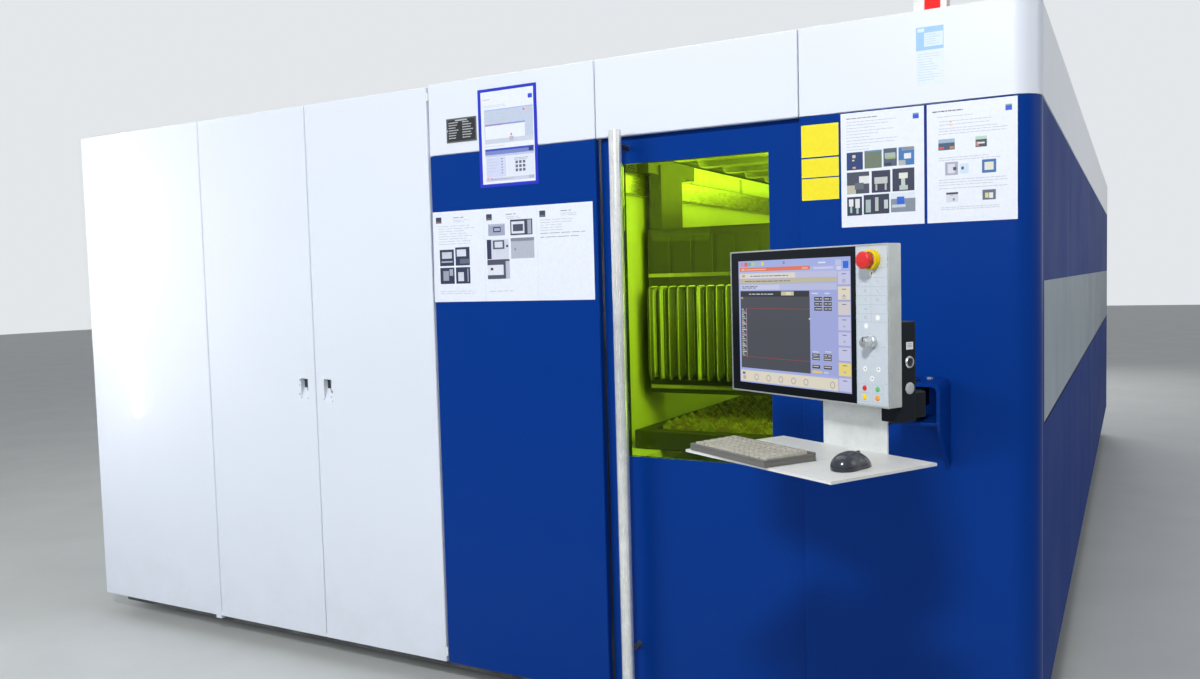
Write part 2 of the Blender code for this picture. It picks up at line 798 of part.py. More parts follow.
def build_pallet():
    rim, seat = 0.08, LEDGE_TOP + 0.015
    pallet = box(
        "pallet_frame",
        (PALLET_LEFT, PALLET_FRONT, LEDGE_TOP + TOUCH),
        (PALLET_RIGHT, PALLET_BACK, PALLET_TOP),
        origin=(CHAMBER_MIDDLE, (PALLET_FRONT + PALLET_BACK) / 2, LEDGE_TOP),
        edge=0.004,
    )
    inside = box(
        "pallet_inside",
        (PALLET_LEFT + rim - 0.005, PALLET_FRONT + rim, seat - TOUCH),
        (PALLET_RIGHT - rim + 0.005, PALLET_BACK - rim, PALLET_TOP + 0.10),
        cutter=True,
    )
    cut(pallet, inside)
    below = box(
        "pallet_below",
        (PALLET_LEFT + rim + 0.04, PALLET_FRONT + rim + 0.04, LEDGE_TOP - 0.06),
        (PALLET_RIGHT - rim - 0.04, PALLET_BACK - rim - 0.04, seat + 0.03),
        cutter=True,
    )
    cut(pallet, below)
    paint(pallet, GREY, 0.6, 0.5)
    front, back = PALLET_FRONT + rim + 0.002, PALLET_BACK - rim - 0.002
    across = bmesh.new()
    pitch = (back - front) / SLAT_COUNT
    stand = Matrix(((1, 0, 0, 0), (0, 0, -1, 0), (0, 1, 0, 0), (0, 0, 0, 1)))
    single = outline_solid("slat_shape", slat_outline(), 0.003, stand, cutter=True)
    for place in range(SLAT_COUNT):
        y = front + pitch * (place + 0.5)
        first = len(across.verts)
        across.from_mesh(single.data)
        across.verts.ensure_lookup_table()
        added = across.verts[first:]
        bmesh.ops.translate(across, vec=(0, y, 0), verts=added)
    slats = finish("pallet_slats", across, (0, 0, 0))
    for name, start in (
        ("slats_holder_left", PALLET_LEFT + rim),
        ("slats_holder_right", PALLET_RIGHT - rim - 0.025),
    ):
        strip = box(name, (start, front, seat), (start + 0.025, back, seat + 0.025), cutter=True)
        join(slats, strip)
    paint(slats, (0.35, 0.27, 0.2), 0.6, 0.6)
    bpy.data.objects.remove(single, do_unlink=True)


def build_sliding_door():
    front, back = DOOR_RECESS, DOOR_RECESS + DOOR_THICK
    left, right, low, high = WINDOW
    leaf = box(
        "door_leaf",
        (DOOR_LEFT_SEAM + SEAM / 2, front, FRONT_BOTTOM),
        (DOOR_RIGHT, back, DOOR_TOP),
        origin=(HANDLE_X, front, FRONT_BOTTOM),
        edge=0.003,
    )
    cut(
        leaf, box("window_hole", (left, front - 0.1, low), (right, back + 0.1, high), cutter=True)
    )
    for number, x in enumerate((WINDOW_LEFT + 0.060, WINDOW_RIGHT - 0.002)):
        hanger = box(
            f"door_hanger_{number}",
            (x - 0.05, back - 0.012, DOOR_TOP - 0.05),
            (x + 0.05, back - TOUCH, COLOUR_LINE + 0.045),
            cutter=True,
        )
        join(leaf, hanger)
    paint(leaf, BLUE, 0.0, 0.35)
    glass = box(
        "door_window",
        (left + TOUCH, front + 0.008, low + TOUCH),
        (right - TOUCH, front + 0.016, high - TOUCH),
        origin=(HANDLE_X, front, FRONT_BOTTOM),
    )
    paint(glass, (0.25, 0.6, 0.02), 0.0, 0.1)
    handle = round_bar(
        "door_handle",
        (HANDLE_X, HANDLE_Y, HANDLE_LOW),
        (HANDLE_X, HANDLE_Y, HANDLE_HIGH),
        HANDLE_RADIUS,
        origin=(HANDLE_X, front, FRONT_BOTTOM),
        sides=32,
    )
    for number, z in enumerate(HANDLE_MOUNTS):
        mount = round_bar(
            f"handle_mount_{number}",
            (HANDLE_X, HANDLE_Y + 0.004, z),
            (HANDLE_X, front - TOUCH, z),
            0.011,
            cutter=True,
            sides=16,
        )
        join(handle, mount)
    paint(handle, STEEL, 0.9, 0.2)
    track = box(
        "door_track",
        (CABINET_END - 0.004 + TOUCH, SHEET + TOUCH, HEADER_LOW),
        (-SHEET - TOUCH, back + 0.020, ROOF_LOW - TOUCH),
    )
    rail = box(
        "hanger_rail",
        (DOOR_LEFT_SEAM + 0.006, back + TOUCH, COLOUR_LINE + 0.012),
        (-SHEET - 0.06, back + 0.018, HEADER_LOW + 0.02),
        cutter=True,
    )
    join(track, rail)
    paint(track, STEEL, 0.8, 0.35)


def build_beacons():
    roof = ROOF_TOP + TOUCH
    beacon = lathe(
        "beacon",
        (
            (0.0, roof + 0.115),
            (0.018, roof + 0.112),
            (0.034, roof + 0.098),
            (0.039, roof + 0.075),
            (0.040, roof + 0.030),
            (0.046, roof + 0.028),
            (0.046, roof),
            (0.0, roof),
        ),
        (-0.120, 0.150, 0.0),
        steps=32,
    )
    paint(beacon, (0.9, 0.3, 0.02), 0.0, 0.2)
    lamp = box(
        "signal_lamp",
        (-0.370, 0.110, roof),
        (-0.270, 0.170, roof + 0.080),
        edge=0.006,
        segments=2,
    )
    paint(lamp, (0.9, 0.9, 0.9), 0.0, 0.3)


def build_bracket():
    """Channel on the front wall that holds the pivot of the arm."""
    left, right, low, high = BRACKET
    reach = BRACKET_REACH
    outline = (
        (left, low),
        (right, low),
        (right, high - 0.012),
        (right - 0.004, high - 0.004),
        (right - 0.012, high),
        (left, high),
        (left, high - FLANGE),
        (right - 0.014, high - FLANGE),
        (right - 0.008, high - FLANGE - 0.006),
        (right - 0.008, low + FLANGE),
        (left, low + FLANGE),
    )
    place = Matrix.Translation((0, -reach / 2 - TOUCH, 0)) @ Matrix(
        ((1, 0, 0, 0), (0, 0, -1, 0), (0, 1, 0, 0), (0, 0, 0, 1))
    )
    bracket = outline_solid("arm_bracket", outline, reach, place)
    back = box(
        "bracket_back", (left, -0.012, low - 0.08), (right, -TOUCH, high), cutter=True
    )
    join(bracket, back)
    # The side cheek runs on below the lower flange and tapers to the wall
    cheek_outline = (
        (-TOUCH, low - 0.140),
        (-TOUCH, high - 0.012),
        (-reach - TOUCH, high - 0.012),
        (-reach - TOUCH, low - 0.005),
        (-0.050, low - 0.140),
    )
    upright = Matrix(((0, 0, 1, 0), (1, 0, 0, 0), (0, 1, 0, 0), (0, 0, 0, 1)))
    cheek_place = Matrix.Translation((right - 0.004, 0, 0)) @ upright
    cheek = outline_solid("bracket_cheek", cheek_outline, 0.008, cheek_place, cutter=True)
    join(bracket, cheek)
    bore = round_bar(
        "pivot_bore",
        (*ARM_PIVOT, BRACKET[2] - 0.03),
        (*ARM_PIVOT, BRACKET[3] + 0.05),
        PIN_RADIUS + RUNNING_GAP,
        cutter=True,
        sides=32,
    )
    cut(bracket, bore)
    paint(bracket, BLUE, 0.0, 0.4)


def terminal_point(along, deep, up):
    """A point of the terminal's own frame in the machine's axes."""
    cos, sin = math.cos(TERMINAL_TURN), math.sin(TERMINAL_TURN)
    x = TERMINAL_AT[0] + along * cos - deep * sin
    y = TERMINAL_AT[1] + along * sin + deep * cos
    return Vector((x, y, up))


def build_arm():
    far = terminal_point(*TERMINAL_PIVOT, 0.0)
    near = Vector((*ARM_PIVOT, 0.0))
    middle = (ARM_LOW + ARM_HIGH) / 2
    tall = ARM_HIGH - ARM_LOW
    along = far - near
    reach = along.length
    angle = math.atan2(along.y, along.x)
    outline = []
    half = ARM_WIDTH / 2
    for step in range(13):
        turn = math.radians(90 + 15 * step)
        outline.append((half * math.cos(turn), half * math.sin(turn)))
    for step in range(13):
        turn = math.radians(-90 + 15 * step)
        outline.append((reach + half * math.cos(turn), half * math.sin(turn)))
    place = Matrix.Translation((near.x, near.y, middle)) @ Matrix.Rotation(angle, 4, "Z")
    arm = outline_solid("swivel_arm", outline, tall, place, origin=(*ARM_PIVOT, middle))
    bracket_low, bracket_high = BRACKET[2], BRACKET[3]
    for name, centre, low, high, radius in (
        ("wall_pin", near, bracket_low - 0.004, bracket_high + 0.004, PIN_RADIUS),
        ("wall_boss", near, bracket_low + FLANGE + TOUCH, ARM_LOW + 0.01, 0.024),
        ("terminal_pin", far, ARM_HIGH - 0.02, HUB_HIGH - 0.007, PIN_RADIUS),
    ):
        pin = round_bar(
            name,
            (centre.x, centre.y, low),
            (centre.x, centre.y, high),
            radius,
            cutter=True,
            sides=32,
        )
        join(arm, pin)
    paint(arm, DARK, 0.1, 0.5)


def in_terminal(name, low, high, cutter=False, edge=0.0, segments=1):
    """A box in the terminal's own frame: along, deep and up."""
    base = terminal_point(*TERMINAL_PIVOT, 0.0)
    shift = Vector((TERMINAL_PIVOT[0], TERMINAL_PIVOT[1], 0.0))
    return box(
        name,
        Vector(low) - shift,
        Vector(high) - shift,
        origin=base,
        turn=TERMINAL_TURN,
        cutter=cutter,
        edge=edge,
        segments=segments,
    )


def bar_in_terminal(name, start, end, radius, cutter=False, sides=24, own=None):
    """A round bar in the terminal's own frame; own is where its axes sit."""
    at = own or (*TERMINAL_PIVOT, 0.0)
    shift = Vector(at)
    return round_bar(
        name,
        Vector(start) - shift,
        Vector(end) - shift,
        radius,
        origin=terminal_point(*at),
        turn=TERMINAL_TURN,
        cutter=cutter,
        sides=sides,
    )


BUTTONS = (
    ("button_stop", 0.2350, 1.3735, (0.8, 0.05, 0.03)),
    ("button_start", 0.2720, 1.3735, (0.1, 0.6, 0.2)),
    ("button_light", 0.2350, 1.3540, (0.9, 0.8, 0.1)),
    ("button_reset", 0.2720, 1.3540, (0.9, 0.45, 0.05)),
)
ESTOP = (0.2620, 1.6500)
KNOB = (0.2580, 1.4750)


def build_terminal():
    left, right, low, high = HOUSING
    housing = in_terminal(
        "terminal_housing",
        (left, 0.0, low),
        (right, HOUSING_DEPTH, high),
        edge=0.002,
    )
    bulge = in_terminal(
        "rear_bulge",
        (left + 0.046, HOUSING_DEPTH - 0.01, low + 0.026),
        (BACK_PLATE[1] - 0.003, BACK_PLATE_FRONT - TOUCH, high - 0.024),
        cutter=True,
    )
    join(housing, bulge)
    pocket = in_terminal(
        "front_pocket",
        (left + 0.003, -0.02, low + 0.003),
        (right - 0.0015, 0.004, high - 0.003),
        cutter=True,
    )
    cut(housing, pocket)
    paint(housing, STEEL, 0.9, 0.35)
    glass = in_terminal(
        "screen_glass",
        (left + 0.0033, TOUCH, low + 0.0033),
        (STRIP_LEFT - TOUCH, 0.0037, high - 0.0033),
    )
    paint(glass, (0.01, 0.012, 0.015), 0.0, 0.15)
    strip = in_terminal(
        "key_strip",
        (STRIP_LEFT, TOUCH, low + 0.0033),
        (right - 0.0018, 0.0037, high - 0.0033),
    )
    collar = bar_in_terminal(
        "estop_collar", (ESTOP[0], -0.010, ESTOP[1]), (ESTOP[0], 0.002, ESTOP[1]), 0.021, True
    )
    join(strip, collar)
    well = bar_in_terminal(
        "estop_well", (ESTOP[0], -0.03, ESTOP[1]), (ESTOP[0], 0.0025, ESTOP[1]), 0.011, True
    )
    cut(strip, well)
    for name, along, up, colour in BUTTONS:
        hole = bar_in_terminal(
            name + "_hole", (along, -0.01, up), (along, 0.01, up), 0.0061, True, 20
        )
        cut(strip, hole)
        button = bar_in_terminal(
            name,
            (along, -0.0022, up),
            (along, 0.0018, up),
            0.0058,
            sides=20,
            own=(along, 0.0, up),
        )
        paint(button, colour, 0.0, 0.4)
    paint(strip, (0.62, 0.65, 0.68))
    mushroom = bar_in_terminal(
        "estop_button",
        (ESTOP[0], -0.036, ESTOP[1]),
        (ESTOP[0], -0.0165, ESTOP[1]),
        0.0190,
        sides=28,
        own=(ESTOP[0], 0.0, ESTOP[1]),
    )
    soften(mushroom, 0.004, 2)
    stem = bar_in_terminal(
        "estop_stem", (ESTOP[0], -0.02, ESTOP[1]), (ESTOP[0], -0.0035, ESTOP[1]), 0.0105, True
    )
    join(mushroom, stem)
    paint(mushroom, (0.75, 0.03, 0.02), 0.0, 0.35)
    knob = bar_in_terminal(
        "override_knob",
        (KNOB[0], -0.030, KNOB[1]),
        (KNOB[0], -0.0006, KNOB[1]),
        0.0110,
        own=(KNOB[0], 0.0, KNOB[1]),
    )
    skirt = bar_in_terminal(
        "knob_skirt", (KNOB[0], -0.010, KNOB[1]), (KNOB[0], -0.0006, KNOB[1]), 0.0140, True
    )
    pointer = in_terminal(
        "knob_pointer",
        (KNOB[0] - 0.0012, -0.0305, KNOB[1] + 0.002),
        (KNOB[0] + 0.0012, -0.012, KNOB[1] + 0.0118),
        cutter=True,
    )
    join(knob, skirt)
    join(knob, pointer)
    paint(knob, (0.6, 0.6, 0.6), 0.5, 0.3)

    plate_left, plate_right = BACK_PLATE
    plate_back = BACK_PLATE_FRONT + BACK_PLATE_THICK
    box_left = plate_right + 0.0005
    rear = in_terminal(
        "terminal_rear_box",
        (box_left, HOUSING_DEPTH + 0.0005, HUB_LOW),
        (box_left + 0.0535, HOUSING_DEPTH + 0.052, high - 0.1675),
    )
    hub = in_terminal(
        "terminal_hub",
        (plate_left - 0.010, plate_back + 0.0005, HUB_LOW),
        (box_left + 0.0425, TERMINAL_PIVOT[1] + 0.060, HUB_HIGH),
        cutter=True,
    )
    join(rear, hub)
    bore = bar_in_terminal(
        "terminal_bore",
        (*TERMINAL_PIVOT, HUB_LOW - 0.05),
        (*TERMINAL_PIVOT, HUB_HIGH - 0.003),
        PIN_RADIUS + RUNNING_GAP,
        True,
        32,
    )
    cut(rear, bore)
    paint(rear, DARK, 0.1, 0.45)
    shelf_low = SHELF_TOP - SHELF_THICK
    plate = in_terminal(
        "support_plate",
        (plate_left, BACK_PLATE_FRONT, shelf_low),
        (plate_right, plate_back, low + 0.106),
    )
    paint(plate, STEEL, 0.9, 0.35)
    shelf = in_terminal(
        "keyboard_shelf",
        (SHELF[0], SHELF[2], shelf_low),
        (SHELF[1], BACK_PLATE_FRONT - TOUCH, SHELF_TOP),
    )
    paint(shelf, (0.8, 0.8, 0.78), 0.2, 0.4)
    build_keyboard()
    build_mouse()


def build_keyboard():
    """A compact keyboard that lies on the shelf, with its rows of keys."""
    centre = terminal_point(0.062, -0.178, SHELF_TOP + TOUCH)
    turn = TERMINAL_TURN + math.radians(-3)
    keyboard = box(
        "keyboard",
        (-0.138, -0.070, 0.0),
        (0.138, 0.070, 0.016),
        origin=centre,
        turn=turn,
    )
    for row in range(5):
        y = -0.060 + 0.0235 * row
        keys = box(
            f"key_row_{row}",
            (-0.130, y, 0.010),
            (0.130, y + 0.019, 0.0235),
            origin=centre,
            turn=turn,
            cutter=True,
        )
        join(keyboard, keys)
    paint(keyboard, (0.62, 0.6, 0.55), 0.0, 0.6)


def build_mouse():
    centre = terminal_point(0.305, -0.115, SHELF_TOP + TOUCH)
    turn = TERMINAL_TURN + math.radians(12)
    solid = bmesh.new()
    shape = Matrix.LocRotScale((0, 0, 0.004), None, (0.032, 0.058, 0.033))
    bmesh.ops.create_uvsphere(solid, u_segments=20, v_segments=12, radius=1.0, matrix=shape)
    bmesh.ops.bisect_plane(
        solid,
        geom=list(solid.verts) + list(solid.edges) + list(solid.faces),
        plane_co=(0, 0, 0),
        plane_no=(0, 0, 1),
        clear_inner=True,
    )
    rim = [edge for edge in solid.edges if edge.is_boundary]
    bmesh.ops.holes_fill(solid, edges=rim)
    mouse = finish("mouse", solid, centre, turn)
    paint(mouse, (0.01, 0.012, 0.016), 0.0, 0.25)


clear_scene()
MACHINE, CUTTERS = make_collections()
build_base()
build_cabinet()
build_cabinet_doors()
build_front_panels()
build_walls()
build_roofs()
build_service_bay()
build_frame()
build_motion_unit()
build_pallet()
build_sliding_door()
build_beacons()
build_bracket()
build_arm()
build_terminal()
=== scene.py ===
# %% [markdown]
# # A flatbed laser cutting machine, dressed for its portrait
# This lesson starts from a finished set of solids, the frame. The solids say
# where everything is and how it moves. What is added here is what makes them
# look real: paint, glass, brushed steel, printed sheets and the small pieces
# that a plain solid leaves out. Every step tells what the piece is on the real
# machine, how it could be made, and why it is made the way it is.

import math

import bmesh
import bpy
import numpy as np
from mathutils import Matrix, Vector


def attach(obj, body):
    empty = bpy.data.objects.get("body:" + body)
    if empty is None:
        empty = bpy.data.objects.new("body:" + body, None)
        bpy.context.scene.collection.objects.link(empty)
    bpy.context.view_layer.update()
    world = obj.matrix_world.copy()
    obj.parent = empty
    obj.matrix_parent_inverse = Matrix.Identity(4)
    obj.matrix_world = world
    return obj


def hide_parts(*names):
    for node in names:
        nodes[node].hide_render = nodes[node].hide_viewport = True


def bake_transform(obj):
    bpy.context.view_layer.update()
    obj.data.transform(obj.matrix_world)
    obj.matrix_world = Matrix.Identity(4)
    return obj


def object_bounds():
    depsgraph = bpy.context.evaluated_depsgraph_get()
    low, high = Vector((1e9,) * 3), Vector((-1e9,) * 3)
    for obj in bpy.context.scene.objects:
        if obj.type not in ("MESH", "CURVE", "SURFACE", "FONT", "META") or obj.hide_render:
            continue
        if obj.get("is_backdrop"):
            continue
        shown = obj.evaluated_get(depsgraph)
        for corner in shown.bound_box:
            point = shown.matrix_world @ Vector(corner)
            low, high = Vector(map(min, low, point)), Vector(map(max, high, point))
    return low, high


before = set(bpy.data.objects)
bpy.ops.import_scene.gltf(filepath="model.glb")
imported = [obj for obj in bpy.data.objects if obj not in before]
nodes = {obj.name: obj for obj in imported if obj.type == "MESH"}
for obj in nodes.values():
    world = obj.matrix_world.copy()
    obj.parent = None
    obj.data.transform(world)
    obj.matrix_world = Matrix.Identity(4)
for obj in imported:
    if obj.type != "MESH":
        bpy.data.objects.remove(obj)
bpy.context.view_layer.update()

# %% [markdown]
# ## Where things are
# The machine was drawn from its front right corner: X runs along the front,
# Y into the machine and Z up. The frame has its origin under the middle, so
# one shift brings drawing positions there. The operator terminal is turned by
# 30 degrees, so it gets a helper of its own: along the screen, into it, up.

# %% Positions
MIDDLE = np.array([-2.18, 3.206528, 0])
TERMINAL_AT = np.array([-0.479, -0.828, 0])
TERMINAL_TURN = math.radians(-30)
ALONG = np.array([math.cos(TERMINAL_TURN), math.sin(TERMINAL_TURN), 0])
INTO = np.array([-math.sin(TERMINAL_TURN), math.cos(TERMINAL_TURN), 0])
UP = np.array([0.0, 0.0, 1.0])


def from_corner(points):
    """Drawing positions minus the middle of the footprint."""
    return np.asarray(points, float) - MIDDLE


def from_terminal(points):
    """along * first + into * second + up * third, from the screen's middle."""
    turned = np.asarray(points, float) @ np.array([ALONG, INTO, UP])
    return turned + TERMINAL_AT - MIDDLE


# %% [markdown]
# ## Meshes from arrays
# A surface is a grid of points: rows along one parameter, columns along the
# other. numpy works out all points at once, and the faces are found by adding
# one, one row, or both to each point's number. The same small set of makers
# serves all pieces below. Each maker returns points and faces, and make_piece
# turns them into an object that rides on a body.

# %% Objects
def new_object(name, points, faces, finish, sharp=None):
    mesh = bpy.data.meshes.new(name)
    mesh.from_pydata(np.asarray(points).tolist(), [], [list(f) for f in faces])
    piece = bpy.data.objects.new(name, mesh)
    bpy.context.scene.collection.objects.link(piece)
    mesh.materials.append(finish)
    if sharp is not None:
        mesh.polygons.foreach_set("use_smooth", np.ones(len(mesh.polygons), bool))
        mesh.set_sharp_from_angle(angle=math.radians(sharp))
    return piece


def make_piece(
    name, arrays, finish, body, sharp=None, slot=None, instead_of=None,
    place=from_corner, closed=False, rounded=(),
):
    """Puts the arrays in place and lets them ride on their body.

    slot is not used, instead_of the solid that this piece stands
    for, closed turns its faces outwards, rounded is width, steps and angle.
    """
    piece = new_object(name, place(arrays[0]), arrays[1], finish, sharp)
    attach(piece, body)
    if instead_of:
        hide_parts(instead_of)
    if closed:
        facing_out(piece)
    if rounded:
        bevel(piece, *rounded)
    return piece


def facing_out(piece):
    """Turns every face of a closed piece outwards."""
    shape = bmesh.new()
    shape.from_mesh(piece.data)
    bmesh.ops.remove_doubles(shape, verts=shape.verts, dist=1e-6)
    bmesh.ops.recalc_face_normals(shape, faces=shape.faces)
    shape.to_mesh(piece.data)
    shape.free()


def bevel(piece, width, segments=2, angle=30):
    rounding = piece.modifiers.new("edges", "BEVEL")
    rounding.width = width
    rounding.segments = segments
    rounding.limit_method = "ANGLE"
    rounding.angle_limit = math.radians(angle)


# %% Mesh makers
def grid_faces(rows, columns, around=False):
    """Each face joins a point, its neighbour, and the two in the next row."""
    last = columns if around else columns - 1
    row, column = np.meshgrid(np.arange(rows - 1), np.arange(last), indexing="ij")
    here = row * columns + column
    side = row * columns + (column + 1) % columns
    return np.stack([here, side, side + columns, here + columns], -1).reshape(-1, 4)


def boxes(rows):
    """Boxes from rows of low x, y, z and high x, y, z: a corner takes either."""
    lows, highs = np.split(np.asarray(rows, float).reshape(-1, 6), 2, axis=1)
    pick = np.array([[i >> 2 & 1, i >> 1 & 1, i & 1] for i in range(8)])
    points = lows[:, None] + (highs - lows)[:, None] * pick[None]
    sides = np.array(
        [[0, 1, 3, 2], [4, 6, 7, 5], [0, 4, 5, 1], [2, 3, 7, 6], [0, 2, 6, 4], [1, 5, 7, 3]]
    )
    faces = sides[None] + 8 * np.arange(len(lows))[:, None, None]
    return points.reshape(-1, 3), faces.reshape(-1, 4)


def with_ends(points, faces, sides, first_tip, last_tip):
    """Closes a tube of rings with a fan of faces to a tip at each end."""
    count = len(points)
    first = np.arange(sides)
    last = first + count - sides
    faces = [list(f) for f in faces]
    faces += [[count, b, a] for a, b in zip(first, np.roll(first, -1))]
    faces += [[count + 1, a, b] for a, b in zip(last, np.roll(last, -1))]
    return np.vstack([points, [first_tip, last_tip]]), faces


def turned(profile, sides=40, at=(0.0, 0.0, 0.0), ring=False):
    """A turned shape: (radius, height) pairs carried round, closed at both ends.

    x = radius * cos(angle), y = radius * sin(angle), z = height. The first and
    the last height also get one point each on the axis, or, for a ring, the
    last height is joined to the first.
    """
    profile = np.asarray(profile, float)
    radius, height = profile[:, :1], profile[:, 1:]
    angle = np.linspace(0, 2 * np.pi, sides, endpoint=False)
    rings = [radius * np.cos(angle), radius * np.sin(angle), np.repeat(height, sides, 1)]
    rings = np.stack(rings, -1).reshape(-1, 3)
    if ring:
        return rings + at, grid_faces(len(profile) + 1, sides, around=True) % len(rings)
    tips = (0, 0, profile[0, 1]), (0, 0, profile[-1, 1])
    faces = grid_faces(len(profile), sides, around=True)
    points, faces = with_ends(rings, faces, sides, *tips)
    return points + at, faces


def aimed(arrays, axes, at):
    """Lays x, y, z along other axes; a capital letter stands for the minus side."""
    signs = [-1 if axis.isupper() else 1 for axis in axes]
    order = ["xyz".index(axis.lower()) for axis in axes]
    return arrays[0][:, order] * signs + at, arrays[1]


def tube_with_flat_ends(loop):
    """Rows of closed outlines, joined to each other, and a face over each end.

    Each outline goes up one side of a sheet and comes back on the other, so an
    end is closed by faces that join points with the same place on both sides.
    """
    rows, count = loop.shape[:2]
    faces = [list(f) for f in grid_faces(rows, count, around=True)]
    for first in (0, (rows - 1) * count):
        last = first + count - 1
        for k in range(count // 2 - 1):
            faces.append([first + k, first + k + 1, last - 1 - k, last - k])
    return loop.reshape(-1, 3), faces


# %% [markdown]
# ## Finishes
# A finish is a small tree of nodes that ends in one shader. Nothing on a real
# machine has one flat colour: powder coat has the faint waves of orange peel,
# brushed steel has a grain, and all of them pick up dust. Each tree reads
# Object coordinates, which are metres here, so a scale of 100 is a centimetre.

# %% Finish helpers
def shader_of(finish):
    return finish.node_tree.nodes["Principled BSDF"]


def set_shader(finish, **sockets):
    """Sets sockets of the shader; three numbers become a colour."""
    for socket, value in sockets.items():
        value = (*value, 1.0) if isinstance(value, tuple) else value
        shader_of(finish).inputs[socket.replace("_", " ")].default_value = value
    return finish


def new_finish(name, **sockets):
    finish = bpy.data.materials.new(name)
    finish.use_nodes = True
    return set_shader(finish, **sockets)


def connect(finish, value, socket):
    """Links a node's output, or writes a number or a colour."""
    if isinstance(value, bpy.types.NodeSocket):
        finish.node_tree.links.new(value, socket)
    else:
        socket.default_value = value


def add_node(finish, kind, inputs=(), **settings):
    """One node, with its settings and its inputs, by name or number."""
    node = finish.node_tree.nodes.new("ShaderNode" + kind)
    for setting, value in settings.items():
        setattr(node, setting, value)
    for socket, value in dict(inputs).items():
        connect(finish, value, node.inputs[socket])
    return node


def to_shader(finish, socket, value):
    connect(finish, value, shader_of(finish).inputs[socket])


def own_place(finish):
    return add_node(finish, "TexCoord").outputs["Object"]


def own_axes(finish):
    return add_node(finish, "SeparateXYZ", {0: own_place(finish)}).outputs


def noise(finish, scale, detail=3.0, roughness=0.5, stretch=(1.0, 1.0, 1.0)):
    """Noise in Object coordinates, stretched where a grain runs one way."""
    mapping = add_node(finish, "Mapping", {"Vector": own_place(finish), "Scale": stretch})
    inputs = {"Scale": scale, "Detail": detail, "Roughness": roughness}
    inputs["Vector"] = mapping.outputs["Vector"]
    return add_node(finish, "TexNoise", inputs).outputs["Fac"]


def spread(finish, value, low, high, to_low=0.0, to_high=1.0):
    """Carries a value from one range to another."""
    inputs = {"Value": value, "From Min": low, "From Max": high}
    inputs.update({"To Min": to_low, "To Max": to_high})
    return add_node(finish, "MapRange", inputs).outputs["Result"]


def product(finish, one, other):
    node = add_node(finish, "Math", {0: one, 1: other}, operation="MULTIPLY")
    return node.outputs["Value"]


def blend_colours(finish, share, one, other, how="MIX"):
    mix = add_node(finish, "Mix", {0: share}, data_type="RGBA", blend_type=how)
    colours = [socket for socket in mix.inputs if socket.type == "RGBA"]
    for socket, value in zip(colours, (one, other)):
        connect(finish, (*value, 1.0) if isinstance(value, tuple) else value, socket)
    return next(socket for socket in mix.outputs if socket.type == "RGBA")


def darker(colour, share):
    return tuple(share * c for c in colour)


def bump(finish, height, distance, strength=1.0):
    inputs = {"Height": height, "Distance": distance, "Strength": strength}
    to_shader(finish, "Normal", add_node(finish, "Bump", inputs).outputs["Normal"])


def edge_highlight_mask(finish, radius=0.004):
    """0 on flats and near 1 at edges, a mask for painted edge highlights: two normals, one of them
    rounded off.
    """
    soft = add_node(finish, "Bevel", {"Radius": radius}, samples=4).outputs["Normal"]
    sharp = add_node(finish, "NewGeometry").outputs["Normal"]
    alike = add_node(finish, "VectorMath", {0: soft, 1: sharp}, operation="DOT_PRODUCT")
    return spread(finish, alike.outputs["Value"], 0.995, 0.90)


def window_of(finish, value, low, high, soft=0.0004):
    """1 between low and high: a rising step times a falling step."""
    rise = spread(finish, value, low - soft, low + soft)
    return product(finish, rise, spread(finish, value, high + soft, high - soft))


# %% [markdown]
# ### Powder coat
# The enclosure is sheet steel with a baked powder coat: white above and on the
# cabinet, deep blue below. A fine bump gives the orange peel. Large
# slow noise shifts the tone a little, dust lies low on the sheets, and edges
# get a painted highlight: a lighter tone, as where an edge catches the light.

# %% Powder coats
GREY_DUST, BLUE_DUST = (0.42, 0.43, 0.42), (0.03, 0.06, 0.14)


def powder_coat(name, colour, roughness, dusty, dust=GREY_DUST, edge=0.45, gloss=0.4, coat=0.0):
    finish = new_finish(
        name, Roughness=roughness, Specular_IOR_Level=gloss, Coat_Weight=coat, Coat_Roughness=0.03
    )
    slow = spread(finish, noise(finish, 0.5, 3.0, 0.5), 0.25, 0.75)
    tone = blend_colours(finish, slow, darker(colour, 0.96), colour)
    low_down = spread(finish, own_axes(finish)["Z"], 0.7, 0.05, 0.0, dusty)
    patchy = spread(finish, noise(finish, 6.0, 6.0, 0.65), 0.35, 0.75)
    dusted = blend_colours(finish, product(finish, low_down, patchy), tone, dust)
    # Painted highlight: edges get a lighter tone, as where they catch the light.
    edge_highlight_colour = tuple(min(1.0, 1.25 * c + 0.02) for c in colour)
    edge_highlight_share = product(finish, edge_highlight_mask(finish), edge)
    tone_dust_and_edge_highlight = blend_colours(finish, edge_highlight_share, dusted, edge_highlight_colour)
    to_shader(finish, "Base Color", tone_dust_and_edge_highlight)
    smudge = noise(finish, 2.2, 4.0, 0.55)
    rough = spread(finish, smudge, 0.3, 0.7, roughness - 0.03, roughness + 0.04)
    to_shader(finish, "Roughness", rough)
    bump(finish, noise(finish, 240.0, 2.0), 0.00006, 0.35)
    return finish, tone_dust_and_edge_highlight


WHITE, BLUE = (0.72, 0.765, 0.86), (0.0004, 0.034, 0.238)
white_coat, _ = powder_coat("white powder coat", WHITE, 0.40, 0.20, coat=0.4)
blue_coat, _ = powder_coat("blue powder coat", BLUE, 0.34, 0.12, BLUE_DUST, 0.25, 0.09)
side_coat, side_tone = powder_coat("blue side coat", BLUE, 0.50, 0.16, BLUE_DUST, 0.25, 0.03)
grey_coat, _ = powder_coat("grey machine paint", (0.50, 0.52, 0.54), 0.42, 0.4)
dark_coat, _ = powder_coat("dark frame paint", (0.030, 0.032, 0.036), 0.45, 0.45)
black_coat, _ = powder_coat(
    "black structure paint", (0.004, 0.007, 0.011), 0.42, 0.05, edge=0.2, gloss=0.15
)
print("powder coats made")

